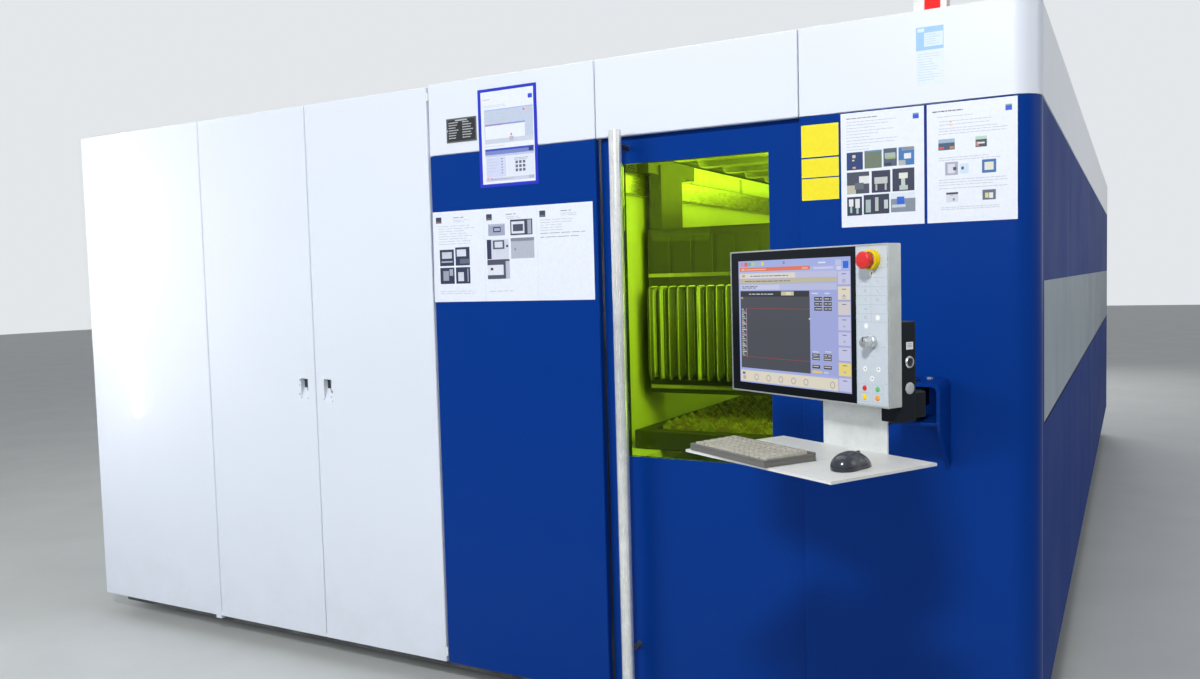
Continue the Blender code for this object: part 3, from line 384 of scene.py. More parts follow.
# %% [markdown]
# The right side wall has one broad white band, a film on the blue coat. It is
# a field of colour at a given height, so the side's finish gets a second
# colour between two heights and behind the first seam. Two steps of a Map
# Range, multiplied, make such a window.

# %% White band of the side wall
BAND_HEIGHTS, BAND_LENGTH = (1.159, 1.586), np.array([0.135, 7.60]) - MIDDLE[1]
side_axes = own_axes(side_coat)
band = product(
    side_coat,
    window_of(side_coat, side_axes["Z"], *BAND_HEIGHTS),
    window_of(side_coat, side_axes["Y"], *BAND_LENGTH),
)
cloudy = spread(side_coat, noise(side_coat, 2.5, 5.0), 0.3, 0.7)
band_tone = blend_colours(side_coat, cloudy, (0.44, 0.50, 0.54), (0.52, 0.58, 0.62))
to_shader(side_coat, "Base Color", blend_colours(side_coat, band, side_tone, band_tone))
print("side band between heights", BAND_HEIGHTS)

# %% [markdown]
# ### Metals
# The door's tube is polished, so it shows long bright and dark stripes of the
# room. Turned and ground surfaces scatter light across their grain. A noise
# that is stretched along one axis gives that grain, both as tiny changes of
# roughness and as a very shallow bump.

# %% Metals
EVEN = (1.0, 1.0, 1.0)


def grained_metal(name, colour, roughness, grain=EVEN, scale=900.0, depth=0.00002, metallic=1.0):
    finish = new_finish(name, Metallic=metallic, Roughness=roughness)
    lines = noise(finish, scale, 2.0, 0.6, grain)
    patches = spread(finish, noise(finish, 14.0, 4.0, 0.6), 0.35, 0.7)
    to_shader(finish, "Base Color", blend_colours(finish, patches, darker(colour, 0.82), colour))
    rough = spread(finish, lines, 0.3, 0.7, roughness - 0.06, roughness + 0.08)
    to_shader(finish, "Roughness", rough)
    bump(finish, lines, depth, 0.6)
    return finish


polished_tube = grained_metal(
    "polished tube", (0.90, 0.91, 0.90), 0.22, (1.0, 1.0, 0.01), metallic=0.65
)
brushed_sheet = grained_metal(
    "brushed stainless", (0.60, 0.63, 0.62), 0.40, (1.0, 1.0, 0.03), metallic=0.65
)
plate_sheet = grained_metal(
    "plate under the screen", (0.80, 0.83, 0.83), 0.38, (1.0, 1.0, 0.03), metallic=0.40
)
lining_white = grained_metal(
    "bright lining", (0.80, 0.82, 0.80), 0.42, (1.0, 1.0, 0.2), 40.0, metallic=0.25
)
rim_steel = grained_metal("bright folded rim", (0.80, 0.80, 0.78), 0.25)
zinc_sheet = grained_metal("zinc coated sheet", (0.62, 0.64, 0.65), 0.42, (1.0, 0.2, 1.0), 60.0)
ground_steel = grained_metal("ground steel", (0.58, 0.58, 0.57), 0.28, (1.0, 0.02, 1.0))
bright_metal = grained_metal("turned aluminium", (0.74, 0.75, 0.76), 0.24, EVEN, 500.0)
scale_steel = grained_metal("scaled slat steel", (0.62, 0.58, 0.52), 0.45, EVEN, 70.0, 0.0004)
slag = spread(scale_steel, noise(scale_steel, 26.0, 6.0, 0.7), 0.45, 0.60)
slag_tone = blend_colours(scale_steel, slag, (0.17, 0.13, 0.10), (0.58, 0.55, 0.50))
to_shader(scale_steel, "Base Color", slag_tone)
to_shader(scale_steel, "Metallic", spread(scale_steel, slag, 0, 1, 0.3, 1.0))

# %% [markdown]
# ### Glass and plastics
# The window is a laser protection pane: clear plastic in a strong yellow
# green. Light goes in and comes out through its two faces, so its colour acts
# on everything behind it. Dark glossy plastics need little more than a low
# roughness and a hint of fingerprints.

# %% Glass and plastics
laser_pane = new_finish(
    "laser protection pane",
    Base_Color=(0.47, 0.77, 0.014), Roughness=0.0, IOR=1.18, Transmission_Weight=1.0,
)


def plastic(name, colour, roughness, mottle=0.12, grain=0.0, scale=1500.0, coat=0.0, gloss=0.5):
    finish = new_finish(
        name, Roughness=roughness, Specular_IOR_Level=gloss, Coat_Weight=coat, Coat_Roughness=0.06
    )
    patches = spread(finish, noise(finish, 35.0, 4.0, 0.6), 0.3, 0.7)
    tone = blend_colours(finish, patches, darker(colour, 1 - mottle), colour)
    to_shader(finish, "Base Color", tone)
    prints = noise(finish, 60.0, 5.0, 0.7)
    rough = spread(finish, prints, 0.35, 0.75, roughness, roughness + 0.10)
    to_shader(finish, "Roughness", rough)
    if grain:
        bump(finish, noise(finish, scale, 2.0), grain, 0.6)
    return finish


bezel_glass = plastic("black touch glass", (0.003, 0.005, 0.008), 0.07, gloss=0.16)
key_film = plastic("grey key film", (0.50, 0.555, 0.61), 0.40, 0.05, 0.00002)
key_cap = plastic("warm grey key cap", (0.42, 0.405, 0.35), 0.55, grain=0.00003)
keyboard_tray = plastic("dark grey tray", (0.13, 0.13, 0.12), 0.5, grain=0.00003)
mouse_shell = plastic("blue black shell", (0.010, 0.014, 0.024), 0.22, 0.1, coat=0.35)
red_cap = plastic("red cap", (0.62, 0.012, 0.012), 0.30, coat=0.3)
yellow_cap = plastic("yellow collar", (0.84, 0.60, 0.003), 0.45, gloss=0.15)
green_cap = plastic("green cap", (0.10, 0.45, 0.16), 0.4)
orange_cap = plastic("orange cap", (0.80, 0.30, 0.02), 0.4)
grey_cap = plastic("grey cap", (0.42, 0.45, 0.47), 0.4)
white_cap = plastic("white plastic", (0.80, 0.81, 0.82), 0.35)
soft_rubber = plastic("black rubber", (0.012, 0.012, 0.012), 0.7, 0.2, 0.00005)
shelf_top = plastic("white shelf laminate", (0.66, 0.67, 0.66), 0.42, 0.08)
chip_grey = plastic("chipped primer", (0.30, 0.30, 0.29), 0.6, 0.3)
# Near black: painted shade in the pull pockets, and the rear louvres.
pull_black = plastic("near black for pull shade and louvres", (0.030, 0.034, 0.040), 0.35)
module_grey = plastic("module grey", (0.50, 0.52, 0.53), 0.5)
module_dark = plastic("module dark", (0.05, 0.055, 0.06), 0.5)
print("metals, glass and plastics made")

# %% [markdown]
# ## Camera
# The photograph was taken from the front, a little to the right of the
# machine, at eye height, with the camera turned 29 degrees to the left. A
# camera looks along its own minus Z, so its three axes are worked out from
# the turn, the tilt and the roll, and written into its matrix.

# %% Camera
EYE = (0.2373, -3.0680, 1.6215)
FOCAL_PIXELS, IMAGE_WIDTH, SENSOR = 975.58, 1200, 36.0
TILT, ROLL, TURN = (math.radians(a) for a in (3.454, -1.538, 28.768))
level = np.array([math.cos(TURN), math.sin(TURN), 0.0])
forward = np.array([-math.sin(TURN), math.cos(TURN), -math.tan(TILT)]) * math.cos(TILT)
upright = np.cross(level, forward)
pose = np.eye(4)
pose[:3, 0] = math.cos(ROLL) * level + math.sin(ROLL) * upright
pose[:3, 1] = -math.sin(ROLL) * level + math.cos(ROLL) * upright
pose[:3, 2], pose[:3, 3] = -forward, from_corner(EYE)
camera_data = bpy.data.cameras.new("camera")
camera_data.sensor_width = SENSOR
camera_data.lens = SENSOR * FOCAL_PIXELS / IMAGE_WIDTH
camera_data.clip_start, camera_data.clip_end = 0.05, 200.0
camera = bpy.data.objects.new("camera", camera_data)
bpy.context.scene.collection.objects.link(camera)
camera.matrix_world = Matrix(pose.tolist())
bpy.context.scene.camera = camera
bpy.context.scene.view_settings.view_transform = "Standard"
print("camera lens", round(camera_data.lens, 2), "mm")

# %% [markdown]
# ## Floor and light
# A studio: a pale floor, a soft pale surround, one main lamp high in front,
# which throws the terminal's shadow down on the blue panel, and weaker lamps
# that open the shadows. The surround looks brighter to the camera and in
# mirrors than the light it gives. The Light Path node tells the rays apart.

# %% Surround
world = bpy.data.worlds.new("studio")
bpy.context.scene.world = world
world.use_nodes = True
world_nodes, world_links = world.node_tree.nodes, world.node_tree.links
backgrounds = world_nodes["Background"], world_nodes.new("ShaderNodeBackground")
choose = world_nodes.new("ShaderNodeMixShader")
surround = (((0.86, 0.90, 0.96, 1.0), 0.22), ((0.90, 0.93, 0.96, 1.0), 0.86))
for number, (colour, strength) in enumerate(surround):
    backgrounds[number].inputs["Color"].default_value = colour
    backgrounds[number].inputs["Strength"].default_value = strength
    world_links.new(backgrounds[number].outputs[0], choose.inputs[number + 1])
path = world_nodes.new("ShaderNodeLightPath")
ray = path.outputs["Is Camera Ray"]
for name in ("Is Glossy Ray", "Is Transmission Ray"):
    either = world_nodes.new("ShaderNodeMath")
    either.operation = "MAXIMUM"
    world_links.new(ray, either.inputs[0])
    world_links.new(path.outputs[name], either.inputs[1])
    ray = either.outputs[0]
world_links.new(ray, choose.inputs[0])
world_links.new(choose.outputs[0], world_nodes["World Output"].inputs["Surface"])

# %% Floor and lamps
FLOOR = 40.0
floor_finish = new_finish("pale floor", Roughness=0.55)
floor_tone = spread(floor_finish, noise(floor_finish, 1.5, 5.0, 0.6), 0.3, 0.7)
floor_tone = blend_colours(floor_finish, floor_tone, (0.60, 0.62, 0.61), (0.66, 0.68, 0.67))
to_shader(floor_finish, "Base Color", floor_tone)
corners = [(-FLOOR, -FLOOR, 0), (FLOOR, -FLOOR, 0), (FLOOR, FLOOR, 0), (-FLOOR, FLOOR, 0)]
new_object("floor", corners, [(0, 1, 2, 3)], floor_finish)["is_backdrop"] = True


def lamp(name, place, target, size, power, colour=(1.0, 1.0, 1.0)):
    """A rectangle of light that faces its target."""
    data = bpy.data.lights.new(name, "AREA")
    data.shape = "RECTANGLE"
    data.size, data.size_y = size
    data.energy, data.color = power, colour
    light = bpy.data.objects.new(name, data)
    bpy.context.scene.collection.objects.link(light)
    light.location = from_corner(place)
    way = Vector(from_corner(target) - from_corner(place))
    light.rotation_euler = way.to_track_quat("-Z", "Y").to_euler()
    return light


lamp("main lamp", (0.05, -3.95, 3.75), (-1.2, 0, 1.1), (0.55, 0.35), 132, (1.0, 0.99, 0.97))
left_fill = lamp(
    "left fill", (-5.1, -5.3, 3.2), (-2.7, 0, 1.2), (3.5, 2.5), 184, (0.95, 0.98, 1.0)
)
left_fill.visible_glossy = False
lamp("right side fill", (5.5, 1.5, 3.6), (0, 3, 1.2), (4.0, 2.5), 46, (0.92, 0.97, 1.0))
lamp("top light", (-2.2, 3, 6.5), (-2.2, 3, 0), (6, 8), 170)
lamp("rear fill", (-3, 13, 4), (-2.2, 7.6, 1.2), (5, 3), 150)
lamp("chamber light", (-1.1, 3.2, 1.95), (-1.1, 3.2, 3.0), (1, 3), 112, (1.0, 1.0, 0.95))
lamp("chamber left light", (-1.0, 0.75, 1.9), (-2.2, 1.9, 1.5), (0.7, 0.5), 30)
lamp("chamber front light", (-0.45, 0.45, 1.65), (-1.4, 1.6, 1.3), (0.4, 1.4), 16)
tall_strip = lamp("tall strip", (-6.75, -1.95, 1.80), (-4.1, 0, 1.80), (0.045, 2.3), 2.6)
tall_strip.data.spread = math.radians(34)
print("lamps placed")

# %% [markdown]
# ## Finishes for the solids
# Most of the frame's solids already have the right shape, so they stay and
# get their finish. The table names each solid once.

# %% Dress the solids
COATS = {
    white_coat: (
        "cabinet_fixed_panel cabinet_door_left cabinet_door_right service_roof left_side_wall "
        "rear_panel_left front_header_left front_header_door front_header_corner side_header"
    ),
    blue_coat: "front_panel_left front_panel_corner rear_panel_chamber door_leaf arm_bracket",
    side_coat: "side_wall",
    grey_coat: (
        "cabinet_carcass laser_source cooling_unit dust_extractor side_frame_left "
        "side_frame_right"
    ),
    dark_coat: "base_frame gantry_beam head_carriage scrap_conveyor pallet_frame door_track",
    black_coat: "swivel_arm terminal_rear_box",
    zinc_sheet: "cabin_roof equipped_mounting_plate",
    ground_steel: "guide_beam_left guide_beam_right",
    polished_tube: "door_handle",
    laser_pane: "door_window",
    brushed_sheet: "terminal_housing",
    plate_sheet: "support_plate",
    bezel_glass: "screen_glass",
    key_film: "key_strip",
    shelf_top: "keyboard_shelf",
    key_cap: "keyboard",
    mouse_shell: "mouse",
    red_cap: "estop_button button_stop",
    green_cap: "button_start",
    yellow_cap: "button_light",
    orange_cap: "button_reset beacon",
    bright_metal: (
        "override_knob cutting_head levelling_foot_1 levelling_foot_2 levelling_foot_3 "
        "levelling_foot_4"
    ),
    white_cap: "signal_lamp rating_plate",
    soft_rubber: "bellows_left bellows_right",
    scale_steel: "pallet_slats",
}
for finish, names in COATS.items():
    for name in names.split():
        for slot in nodes[name].material_slots:
            slot.material = finish
dressed = {name for names in COATS.values() for name in names.split()}
print(len(dressed), "solids dressed, left over:", sorted(set(nodes) - dressed))

# %% [markdown]
# ## Printed things
# Sheets of paper, labels, the film over the keys and the picture on the
# screen are all prints: flat fields of colour. A print is a grid whose lines
# fall on the edges of its fields, so that each cell has one colour. Later
# fields are painted over earlier ones, as with sheets of coloured paper. The
# colours are kept in the mesh, in a colour attribute that the finish reads.

# %% Print maker
def printed(name, fields, place, ground, finish, body, thickness=0.0003, extra=0, **more):
    """A thin closed sheet with fields (left, top, right, bottom, colour) in shares.

    place carries shares across (u) and down (v) and a depth below the face to
    positions; extra adds even grid lines, so that a sheet can curl.
    """
    edges = np.array([field[:4] for field in fields], float)
    even = np.linspace(0, 1, extra + 2)
    across, down = (
        np.unique(np.round(np.clip(np.r_[edges[:, k], edges[:, k + 2], even], 0, 1), 5))
        for k in (0, 1)
    )
    middle_u, middle_v = (across[1:] + across[:-1]) / 2, (down[1:] + down[:-1]) / 2
    colours = np.empty((len(middle_v), len(middle_u), 4))
    colours[:] = (*ground, 1.0)
    for left, top, right, bottom, colour in fields:
        inside_u = (middle_u > left) & (middle_u < right)
        inside_v = (middle_v > top) & (middle_v < bottom)
        colours[np.ix_(inside_v, inside_u)] = (*colour, 1.0)
    u, v = np.meshgrid(across, down)
    layers = [place(u, v, np.full_like(u, depth)).reshape(-1, 3) for depth in (0, thickness)]
    cells = grid_faces(*u.shape)[:, ::-1]
    number = np.arange(u.size).reshape(u.shape)
    rim = np.r_[number[0], number[1:, -1], number[-1, -2::-1], number[-2:0:-1, 0]]
    after = np.roll(rim, -1)
    sides = np.stack([rim, after, after + u.size, rim + u.size], -1)
    faces = np.vstack([cells, cells[:, ::-1] + u.size, sides])
    arrays = np.vstack(layers), faces
    piece = make_piece(name.replace(" ", "_"), arrays, finish, body, place=np.asarray, **more)
    tint = piece.data.color_attributes.new("print", "FLOAT_COLOR", "CORNER")
    edge_colour = np.tile((*ground, 1.0), (len(cells) + len(sides), 1))
    each = np.vstack([colours.reshape(-1, 4), edge_colour])
    tint.data.foreach_set("color", np.repeat(each, 4, axis=0).ravel())


def print_finish(name, roughness, coat=0.0):
    """Reads the mesh's own colours; the noise stands for the paper's fibres."""
    finish = new_finish(name, Roughness=roughness, Coat_Weight=coat, Coat_Roughness=0.05)
    ink = add_node(finish, "VertexColor", layer_name="print").outputs["Color"]
    fibre = spread(finish, noise(finish, 90.0, 4.0, 0.6), 0.3, 0.7, 0.94, 1.0)
    shade = add_node(finish, "CombineColor", {0: fibre, 1: fibre, 2: fibre}).outputs[0]
    to_shader(finish, "Base Color", blend_colours(finish, 1.0, ink, shade, "MULTIPLY"))
    bump(finish, noise(finish, 40.0, 3.0), 0.0004, 0.25)
    return finish


paper = print_finish("printed paper", 0.45, coat=0.25)
label_foil = print_finish("label foil", 0.42, coat=0.03)
film_print = print_finish("printed film", 0.42)

# %% Fields and rows of small print
INK, PALE_INK, NAVY = (0.20, 0.23, 0.30), (0.48, 0.52, 0.60), (0.012, 0.022, 0.065)
SHEET_WHITE, PRINT_BLUE = (0.76, 0.80, 0.90), (0.004, 0.055, 0.62)
GREY_PICTURE = (0.36, 0.39, 0.46)
TEXT_STEPS = 128
chance = np.random.default_rng(7)


def text_rows(left, right, places, colour=PALE_INK, height=0.005, fill=0.6):
    """Rows of short dashes, which is what small print is from a step away."""
    fields = []
    for v in places:
        u = round(left * TEXT_STEPS) / TEXT_STEPS
        end = left + (right - left) * chance.uniform(fill, 1.0)
        end = round(end * TEXT_STEPS) / TEXT_STEPS
        while u < end:
            wide = min(round(chance.uniform(2.5, 9.0)) / TEXT_STEPS, end - u)
            fields.append((u, v, u + wide, v + height, colour))
            u += wide + 1 / TEXT_STEPS
    return fields


def text_blocks(*blocks):
    return [field for block in blocks for field in text_rows(*block)]


def thousandths(rows):
    """Divides the whole numbers by 1000; the named colours stay."""
    if isinstance(rows, (tuple, list)):
        return tuple(thousandths(row) for row in rows)
    return rows / 1000 if isinstance(rows, int) else rows


def pictures(rows):
    """Small printed pictures: a ground with patches in shares of its own box."""
    fields = []
    for left, top, right, bottom, ground, patches in thousandths(rows):
        wide, tall = right - left, bottom - top
        fields.append((left, top, right, bottom, ground))
        for u0, v0, u1, v1, colour in patches:
            corners = (left + u0 * wide, top + v0 * tall, left + u1 * wide, top + v1 * tall)
            fields.append((*corners, colour))
    return fields


def on_front(left, right, low, high, stand=0.0006, curl=None):
    """Shares to the front wall, a little in front of it."""

    def place(u, v, depth):
        x = left + u * (right - left)
        z = high - v * (high - low)
        y = -stand + depth * 0.9 + np.zeros_like(u)
        return from_corner(np.stack([x, y - curl(u, v) if curl else y, z], -1))

    return place


# %% [markdown]
# ### Sheets on the front wall
# Work instructions hang on the blue panels: one in a blue frame, three pages
# taped side by side, and two single pages. Their words are only rows of
# dashes here and their pictures plain patches. Paper never lies quite flat,
# so each sheet lifts a little towards its free edges. The tables give left,
# top, right and bottom in thousandths of the sheet, and then the colour.

# %% Framed sheet
framed = list(thousandths([
    (52, 30, 950, 967, SHEET_WHITE),
    (95, 106, 215, 112, (620, 300, 360)),
    (860, 100, 930, 142, PRINT_BLUE),
    (105, 215, 935, 560, (500, 560, 700)),
    (105, 213, 935, 221, (250, 420, 780)),
    (115, 362, 800, 374, (200, 250, 620)),
    (115, 374, 420, 379, (600, 250, 300)),
    (118, 379, 797, 512, SHEET_WHITE),
    (105, 512, 935, 560, (550, 600, 700)),
    (530, 500, 600, 545, (420, 450, 520)),
    (552, 470, 575, 492, (750, 100, 120)),
    (770, 238, 795, 256, (700, 120, 140)),
    (820, 238, 840, 250, (720, 400, 380)),
    (870, 238, 890, 250, (750, 500, 400)),
    (105, 612, 935, 632, (10, 45, 420)),
    (105, 632, 935, 672, (170, 220, 520)),
    (850, 628, 925, 662, (10, 22, 120)),
    (110, 672, 935, 695, (500, 540, 740)),
    (118, 700, 460, 900, (580, 620, 820)),
    (475, 700, 935, 900, (700, 740, 880)),
    (110, 905, 935, 942, (540, 580, 740)),
    (840, 905, 925, 938, (400, 440, 580)),
    (130, 900, 160, 930, (720, 400, 440)),
    (190, 905, 215, 932, (720, 300, 340)),
]))
for row in range(6):
    framed.append((0.380, 0.712 + 0.029 * row, 0.402, 0.722 + 0.029 * row, (0.10, 0.12, 0.20)))
for row in range(3):
    for column in range(3):
        left, top = 0.620 + 0.062 * column, 0.752 + 0.040 * row
        framed.append((left, top, left + 0.042, top + 0.028, (0.10, 0.12, 0.16)))
framed += text_blocks(
    (0.105, 0.52, (0.170, 0.186)),
    (0.105, 0.48, (0.583,)),
    (0.60, 0.90, (0.722, 0.736), INK),
    (0.130, 0.33, (0.715, 0.745, 0.775, 0.805, 0.835), PALE_INK, 0.006),
    (0.115, 0.70, (0.232, 0.260, 0.295, 0.325)),
    (0.200, 0.80, (0.920,), INK),
)
printed(
    "framed instruction sheet", framed, on_front(-1.947, -1.685, 1.984, 2.351, 0.0016),
    (0.003, 0.020, 0.50), paper, "machine", 0.0012, 6,
)

# %% Three taped pages
PAGE = 1.0 / 3.0


def page_head(offset, title_left):
    """The dark square and the faint title that each page begins with."""
    return [
        (offset + 0.018, 0.060, offset + 0.054, 0.126, (0.020, 0.040, 0.090)),
        (offset + 0.020, 0.105, offset + 0.052, 0.118, (0.25, 0.12, 0.12)),
    ] + text_blocks(
        (title_left, title_left + 0.085, (0.070,), INK, 0.008),
        (title_left, title_left + 0.120, (0.098, 0.116), PALE_INK, 0.006),
    )


pages = page_head(0.0, 0.130) + page_head(PAGE, 0.480) + page_head(2 * PAGE, 0.815)
pages += text_blocks(
    (0.03, 0.30, np.arange(0.16, 0.36, 0.028), PALE_INK, 0.006),
    (0.69, 0.90, np.arange(0.155, 0.275, 0.027), PALE_INK, 0.006),
    (0.69, 0.96, (0.295, 0.335), INK, 0.006),
    (0.36, 0.60, (0.888,), PALE_INK, 0.007),
    (0.03, 0.28, (0.880, 0.905), PALE_INK, 0.006),
)
pages += pictures([
    (35, 420, 130, 600, NAVY, [(150, 150, 850, 550, (550, 580, 660)),
        (100, 700, 900, 800, GREY_PICTURE)]),
    (140, 400, 235, 600, NAVY, [(100, 120, 750, 500, (660, 690, 780)), (300, 650, 950, 900,
        (100, 130, 180))]),
    (35, 620, 130, 800, NAVY, [(200, 200, 600, 800, (300, 330, 400)),
        (650, 100, 900, 500, GREY_PICTURE)]),
    (140, 620, 235, 800, NAVY, [(150, 300, 550, 850, (600, 630, 720)), (800, 100, 880, 900,
        (300, 330, 400))]),
    (362, 170, 468, 295, (330, 360, 500), [(300, 250, 750, 700, NAVY), (360, 350, 700, 600,
        (400, 430, 520)), (100, 50, 900, 120, (500, 520, 660))]),
    (503, 135, 640, 300, (30, 38, 75), [(50, 120, 640, 900, (680, 710, 800)),
        (120, 300, 580, 750, (45, 60, 100)), (780, 50, 950, 950, (350, 380, 460))]),
    (350, 335, 490, 545, (600, 630, 740), [(0, 0, 200, 1000, NAVY), (280, 50, 800, 500,
        (60, 80, 130)), (360, 120, 720, 420, (620, 650, 740)), (880, 300, 970, 420, NAVY)]),
    (503, 330, 648, 548, (420, 450, 540), [(0, 0, 1000, 160, (200, 230, 300)),
        (150, 500, 220, 600, INK)]),
    (350, 550, 492, 760, (55, 65, 100), [(0, 280, 720, 800, (700, 730, 820)),
        (140, 420, 260, 550, NAVY), (820, 100, 1000, 1000, (460, 490, 600))]),
])
for seam in (PAGE, 2 * PAGE):
    pages.append((seam - 0.0008, 0.0, seam + 0.0008, 1.0, (0.62, 0.66, 0.76)))


def pages_curl(u, v):
    """The left edge lifts with the square of its share, the low part waves."""
    lift = 0.010 * np.clip(1 - u / 0.05, 0, 1) ** 2 * (0.4 + 0.6 * v)
    return lift + 0.0012 * np.sin(9 * u + 2 * v) ** 2 * np.clip(v - 0.5, 0, 1)


printed(
    "three taped pages", pages, on_front(-2.177, -1.462, 1.554, 1.905, 0.0010, pages_curl),
    SHEET_WHITE, paper, "machine", extra=26,
)

# %% Two single pages
HEAD_GREEN = (0.10, 0.32, 0.30)
first_page = [(0.870, 0.055, 0.940, 0.068, HEAD_GREEN), (0.870, 0.068, 0.940, 0.102, PRINT_BLUE)]
first_page += text_blocks(
    (0.07, 0.47, (0.046,), INK, 0.008, 0.9),
    (0.07, 0.72, np.arange(0.078, 0.33, 0.027), PALE_INK, 0.006, 0.35),
)
first_page += pictures([
    (70, 345, 270, 500, (6, 30, 150), [(350, 150, 550, 320, (620, 600, 320)),
        (340, 420, 480, 500, (600, 600, 400)), (360, 820, 560, 920, (700, 420, 100))]),
    (290, 340, 500, 495, (130, 170, 120), [(0, 0, 1000, 80, (80, 250, 450))]),
    (520, 335, 680, 490, (55, 85, 130), [(100, 250, 900, 550, (360, 420, 420)),
        (200, 500, 900, 600, (300, 400, 140)), (100, 800, 600, 950, NAVY)]),
    (700, 335, 885, 490, (30, 160, 420), [(350, 350, 800, 650, (740, 760, 820)),
        (0, 720, 450, 1000, (400, 420, 400)), (200, 0, 1000, 200, (200, 240, 280))]),
    (70, 520, 345, 710, (45, 55, 90), [(0, 600, 400, 1000, (480, 450, 380)),
        (550, 200, 1000, 550, (700, 720, 740)), (350, 500, 750, 800, (100, 120, 160))]),
    (375, 520, 600, 710, (16, 22, 60), [(150, 300, 850, 600, (500, 520, 500)),
        (200, 620, 300, 900, (400, 420, 400)), (700, 600, 800, 900, (450, 460, 440))]),
    (625, 515, 885, 710, (16, 22, 60), [(300, 200, 700, 450, (700, 700, 640)),
        (400, 450, 580, 750, (500, 580, 540)), (320, 750, 700, 950, (420, 520, 500))]),
    (70, 735, 255, 900, (16, 22, 60), [(120, 120, 420, 500, (720, 740, 740)),
        (550, 120, 850, 600, (700, 720, 720)), (200, 500, 340, 850, (350, 500, 480)),
        (620, 600, 760, 900, (350, 500, 480))]),
    (275, 725, 585, 895, (16, 22, 60), [(80, 250, 280, 900, (340, 440, 440)),
        (450, 150, 580, 850, (440, 500, 460)), (800, 300, 950, 750, (500, 560, 540))]),
    (605, 725, 895, 890, (200, 240, 300), [(0, 0, 1000, 300, (660, 720, 800)),
        (250, 200, 550, 600, (10, 100, 600)), (50, 600, 600, 750, (500, 560, 620))]),
])
second_page = [(0.870, 0.060, 0.940, 0.072, HEAD_GREEN), (0.870, 0.072, 0.940, 0.110, PRINT_BLUE)]
second_page += text_blocks(
    (0.06, 0.42, (0.062,), (0.05, 0.06, 0.09), 0.009, 0.95),
    (0.12, 0.62, (0.110,), PALE_INK, 0.006, 0.8),
    (0.14, 0.78, (0.150, 0.178), PALE_INK, 0.006, 0.8),
    (0.13, 0.95, (0.210, 0.232, 0.255), PALE_INK, 0.006, 0.6),
    (0.13, 0.82, (0.455, 0.475), PALE_INK, 0.006, 0.8),
    (0.13, 0.93, (0.640, 0.662, 0.684, 0.712), PALE_INK, 0.006, 0.7),
    (0.16, 0.93, (0.872, 0.888), PALE_INK, 0.006, 0.8),
)
second_page += thousandths([
    (260, 150, 280, 168, (720, 480, 200)), (260, 180, 280, 192, (720, 550, 200)),
])
second_page += pictures([
    (130, 300, 315, 392, (30, 70, 140), [(0, 0, 1000, 350, (300, 420, 560)),
        (50, 700, 350, 900, (550, 80, 60)), (700, 700, 950, 900, (600, 250, 50))]),
    (545, 300, 670, 388, (30, 40, 70), [(0, 0, 1000, 300, (420, 600, 500)),
        (50, 500, 300, 900, (500, 200, 200)), (200, 550, 800, 700, (660, 680, 700))]),
    (205, 495, 350, 605, (360, 370, 480), [(200, 150, 750, 850, (640, 650, 740)),
        (620, 400, 880, 650, (40, 40, 70))]),
    (370, 515, 468, 598, (580, 700, 840), [(180, 300, 460, 600, (20, 20, 50))]),
    (615, 495, 770, 605, (20, 120, 360), [(180, 200, 820, 800, (700, 700, 600))]),
    (215, 750, 350, 832, (620, 640, 740), [(0, 0, 1000, 200, NAVY), (300, 250, 600, 320,
        (600, 250, 300)), (550, 600, 720, 850, INK)]),
    (620, 745, 765, 828, (80, 120, 180), [(200, 300, 450, 800, (700, 600, 260)),
        (500, 300, 800, 850, (740, 740, 700))]),
])
for name, left, right, fields in (
    ("first page", -0.570, -0.3195, first_page),
    ("second page", -0.311, -0.060, second_page),
):
    place = on_front(
        left, right, 1.767, 2.119, 0.0008, lambda u, v: 0.0009 * v**4 * np.sin(5 * u) ** 2
    )
    printed(name, fields, place, SHEET_WHITE, paper, "machine", extra=14)

# %% [markdown]
# ### Labels and the rating plate
# Three plain yellow fields stand where stickers were, a pale label hangs at
# the top of the corner, and the rating plate has rows of bright dashes that
# stand for its embossed lines.

# %% Labels
YELLOW, YELLOW_EDGE = (0.84, 0.72, 0.012), (0.86, 0.80, 0.002)
for name, low, high in (
    ("upper yellow label", 1.994, 2.095),
    ("middle yellow label", 1.930, 1.989),
    ("lower yellow label", 1.858, 1.926),
):
    place = on_front(-0.6965, -0.5775, low, high, 0.0004)
    edge = [(0.02, 0.035, 0.98, 0.965, YELLOW)]
    printed(name, edge, place, YELLOW_EDGE, label_foil, "machine", 0.0002)
pale = [
    (0.0, 0.0, 1.0, 0.40, (0.30, 0.52, 0.80)),
    (0.30, 0.10, 0.98, 0.34, (0.62, 0.74, 0.90)),
    (0.05, 0.02, 0.30, 0.08, (0.62, 0.74, 0.90)),
] + text_blocks(
    (0.34, 0.92, np.arange(0.13, 0.32, 0.04), (0.40, 0.56, 0.80), 0.010),
    (0.06, 0.90, np.arange(0.46, 0.94, 0.045), (0.46, 0.58, 0.78), 0.010),
)
place = on_front(-0.341, -0.262, 2.179, 2.349, 0.0004)
printed("pale label", pale, place, (0.68, 0.76, 0.90), label_foil, "machine", 0.0002)
SILVER = (0.50, 0.52, 0.54)
plate = [(0.04, 0.06, 0.96, 0.94, (0.012, 0.014, 0.018))]
for column in (0.08, 0.54):
    plate += text_rows(column, column + 0.36, np.arange(0.16, 0.86, 0.105), SILVER, 0.040)
plate += [(0.30, 0.07, 0.70, 0.12, SILVER), (0.02, 0.46, 0.045, 0.54, SILVER)]
printed(
    "rating plate print", plate, on_front(-2.098, -1.957, 2.166, 2.258, 0.0018),
    (0.10, 0.105, 0.11), label_foil, "machine", 0.0014, instead_of="rating_plate",
)
print("prints made")

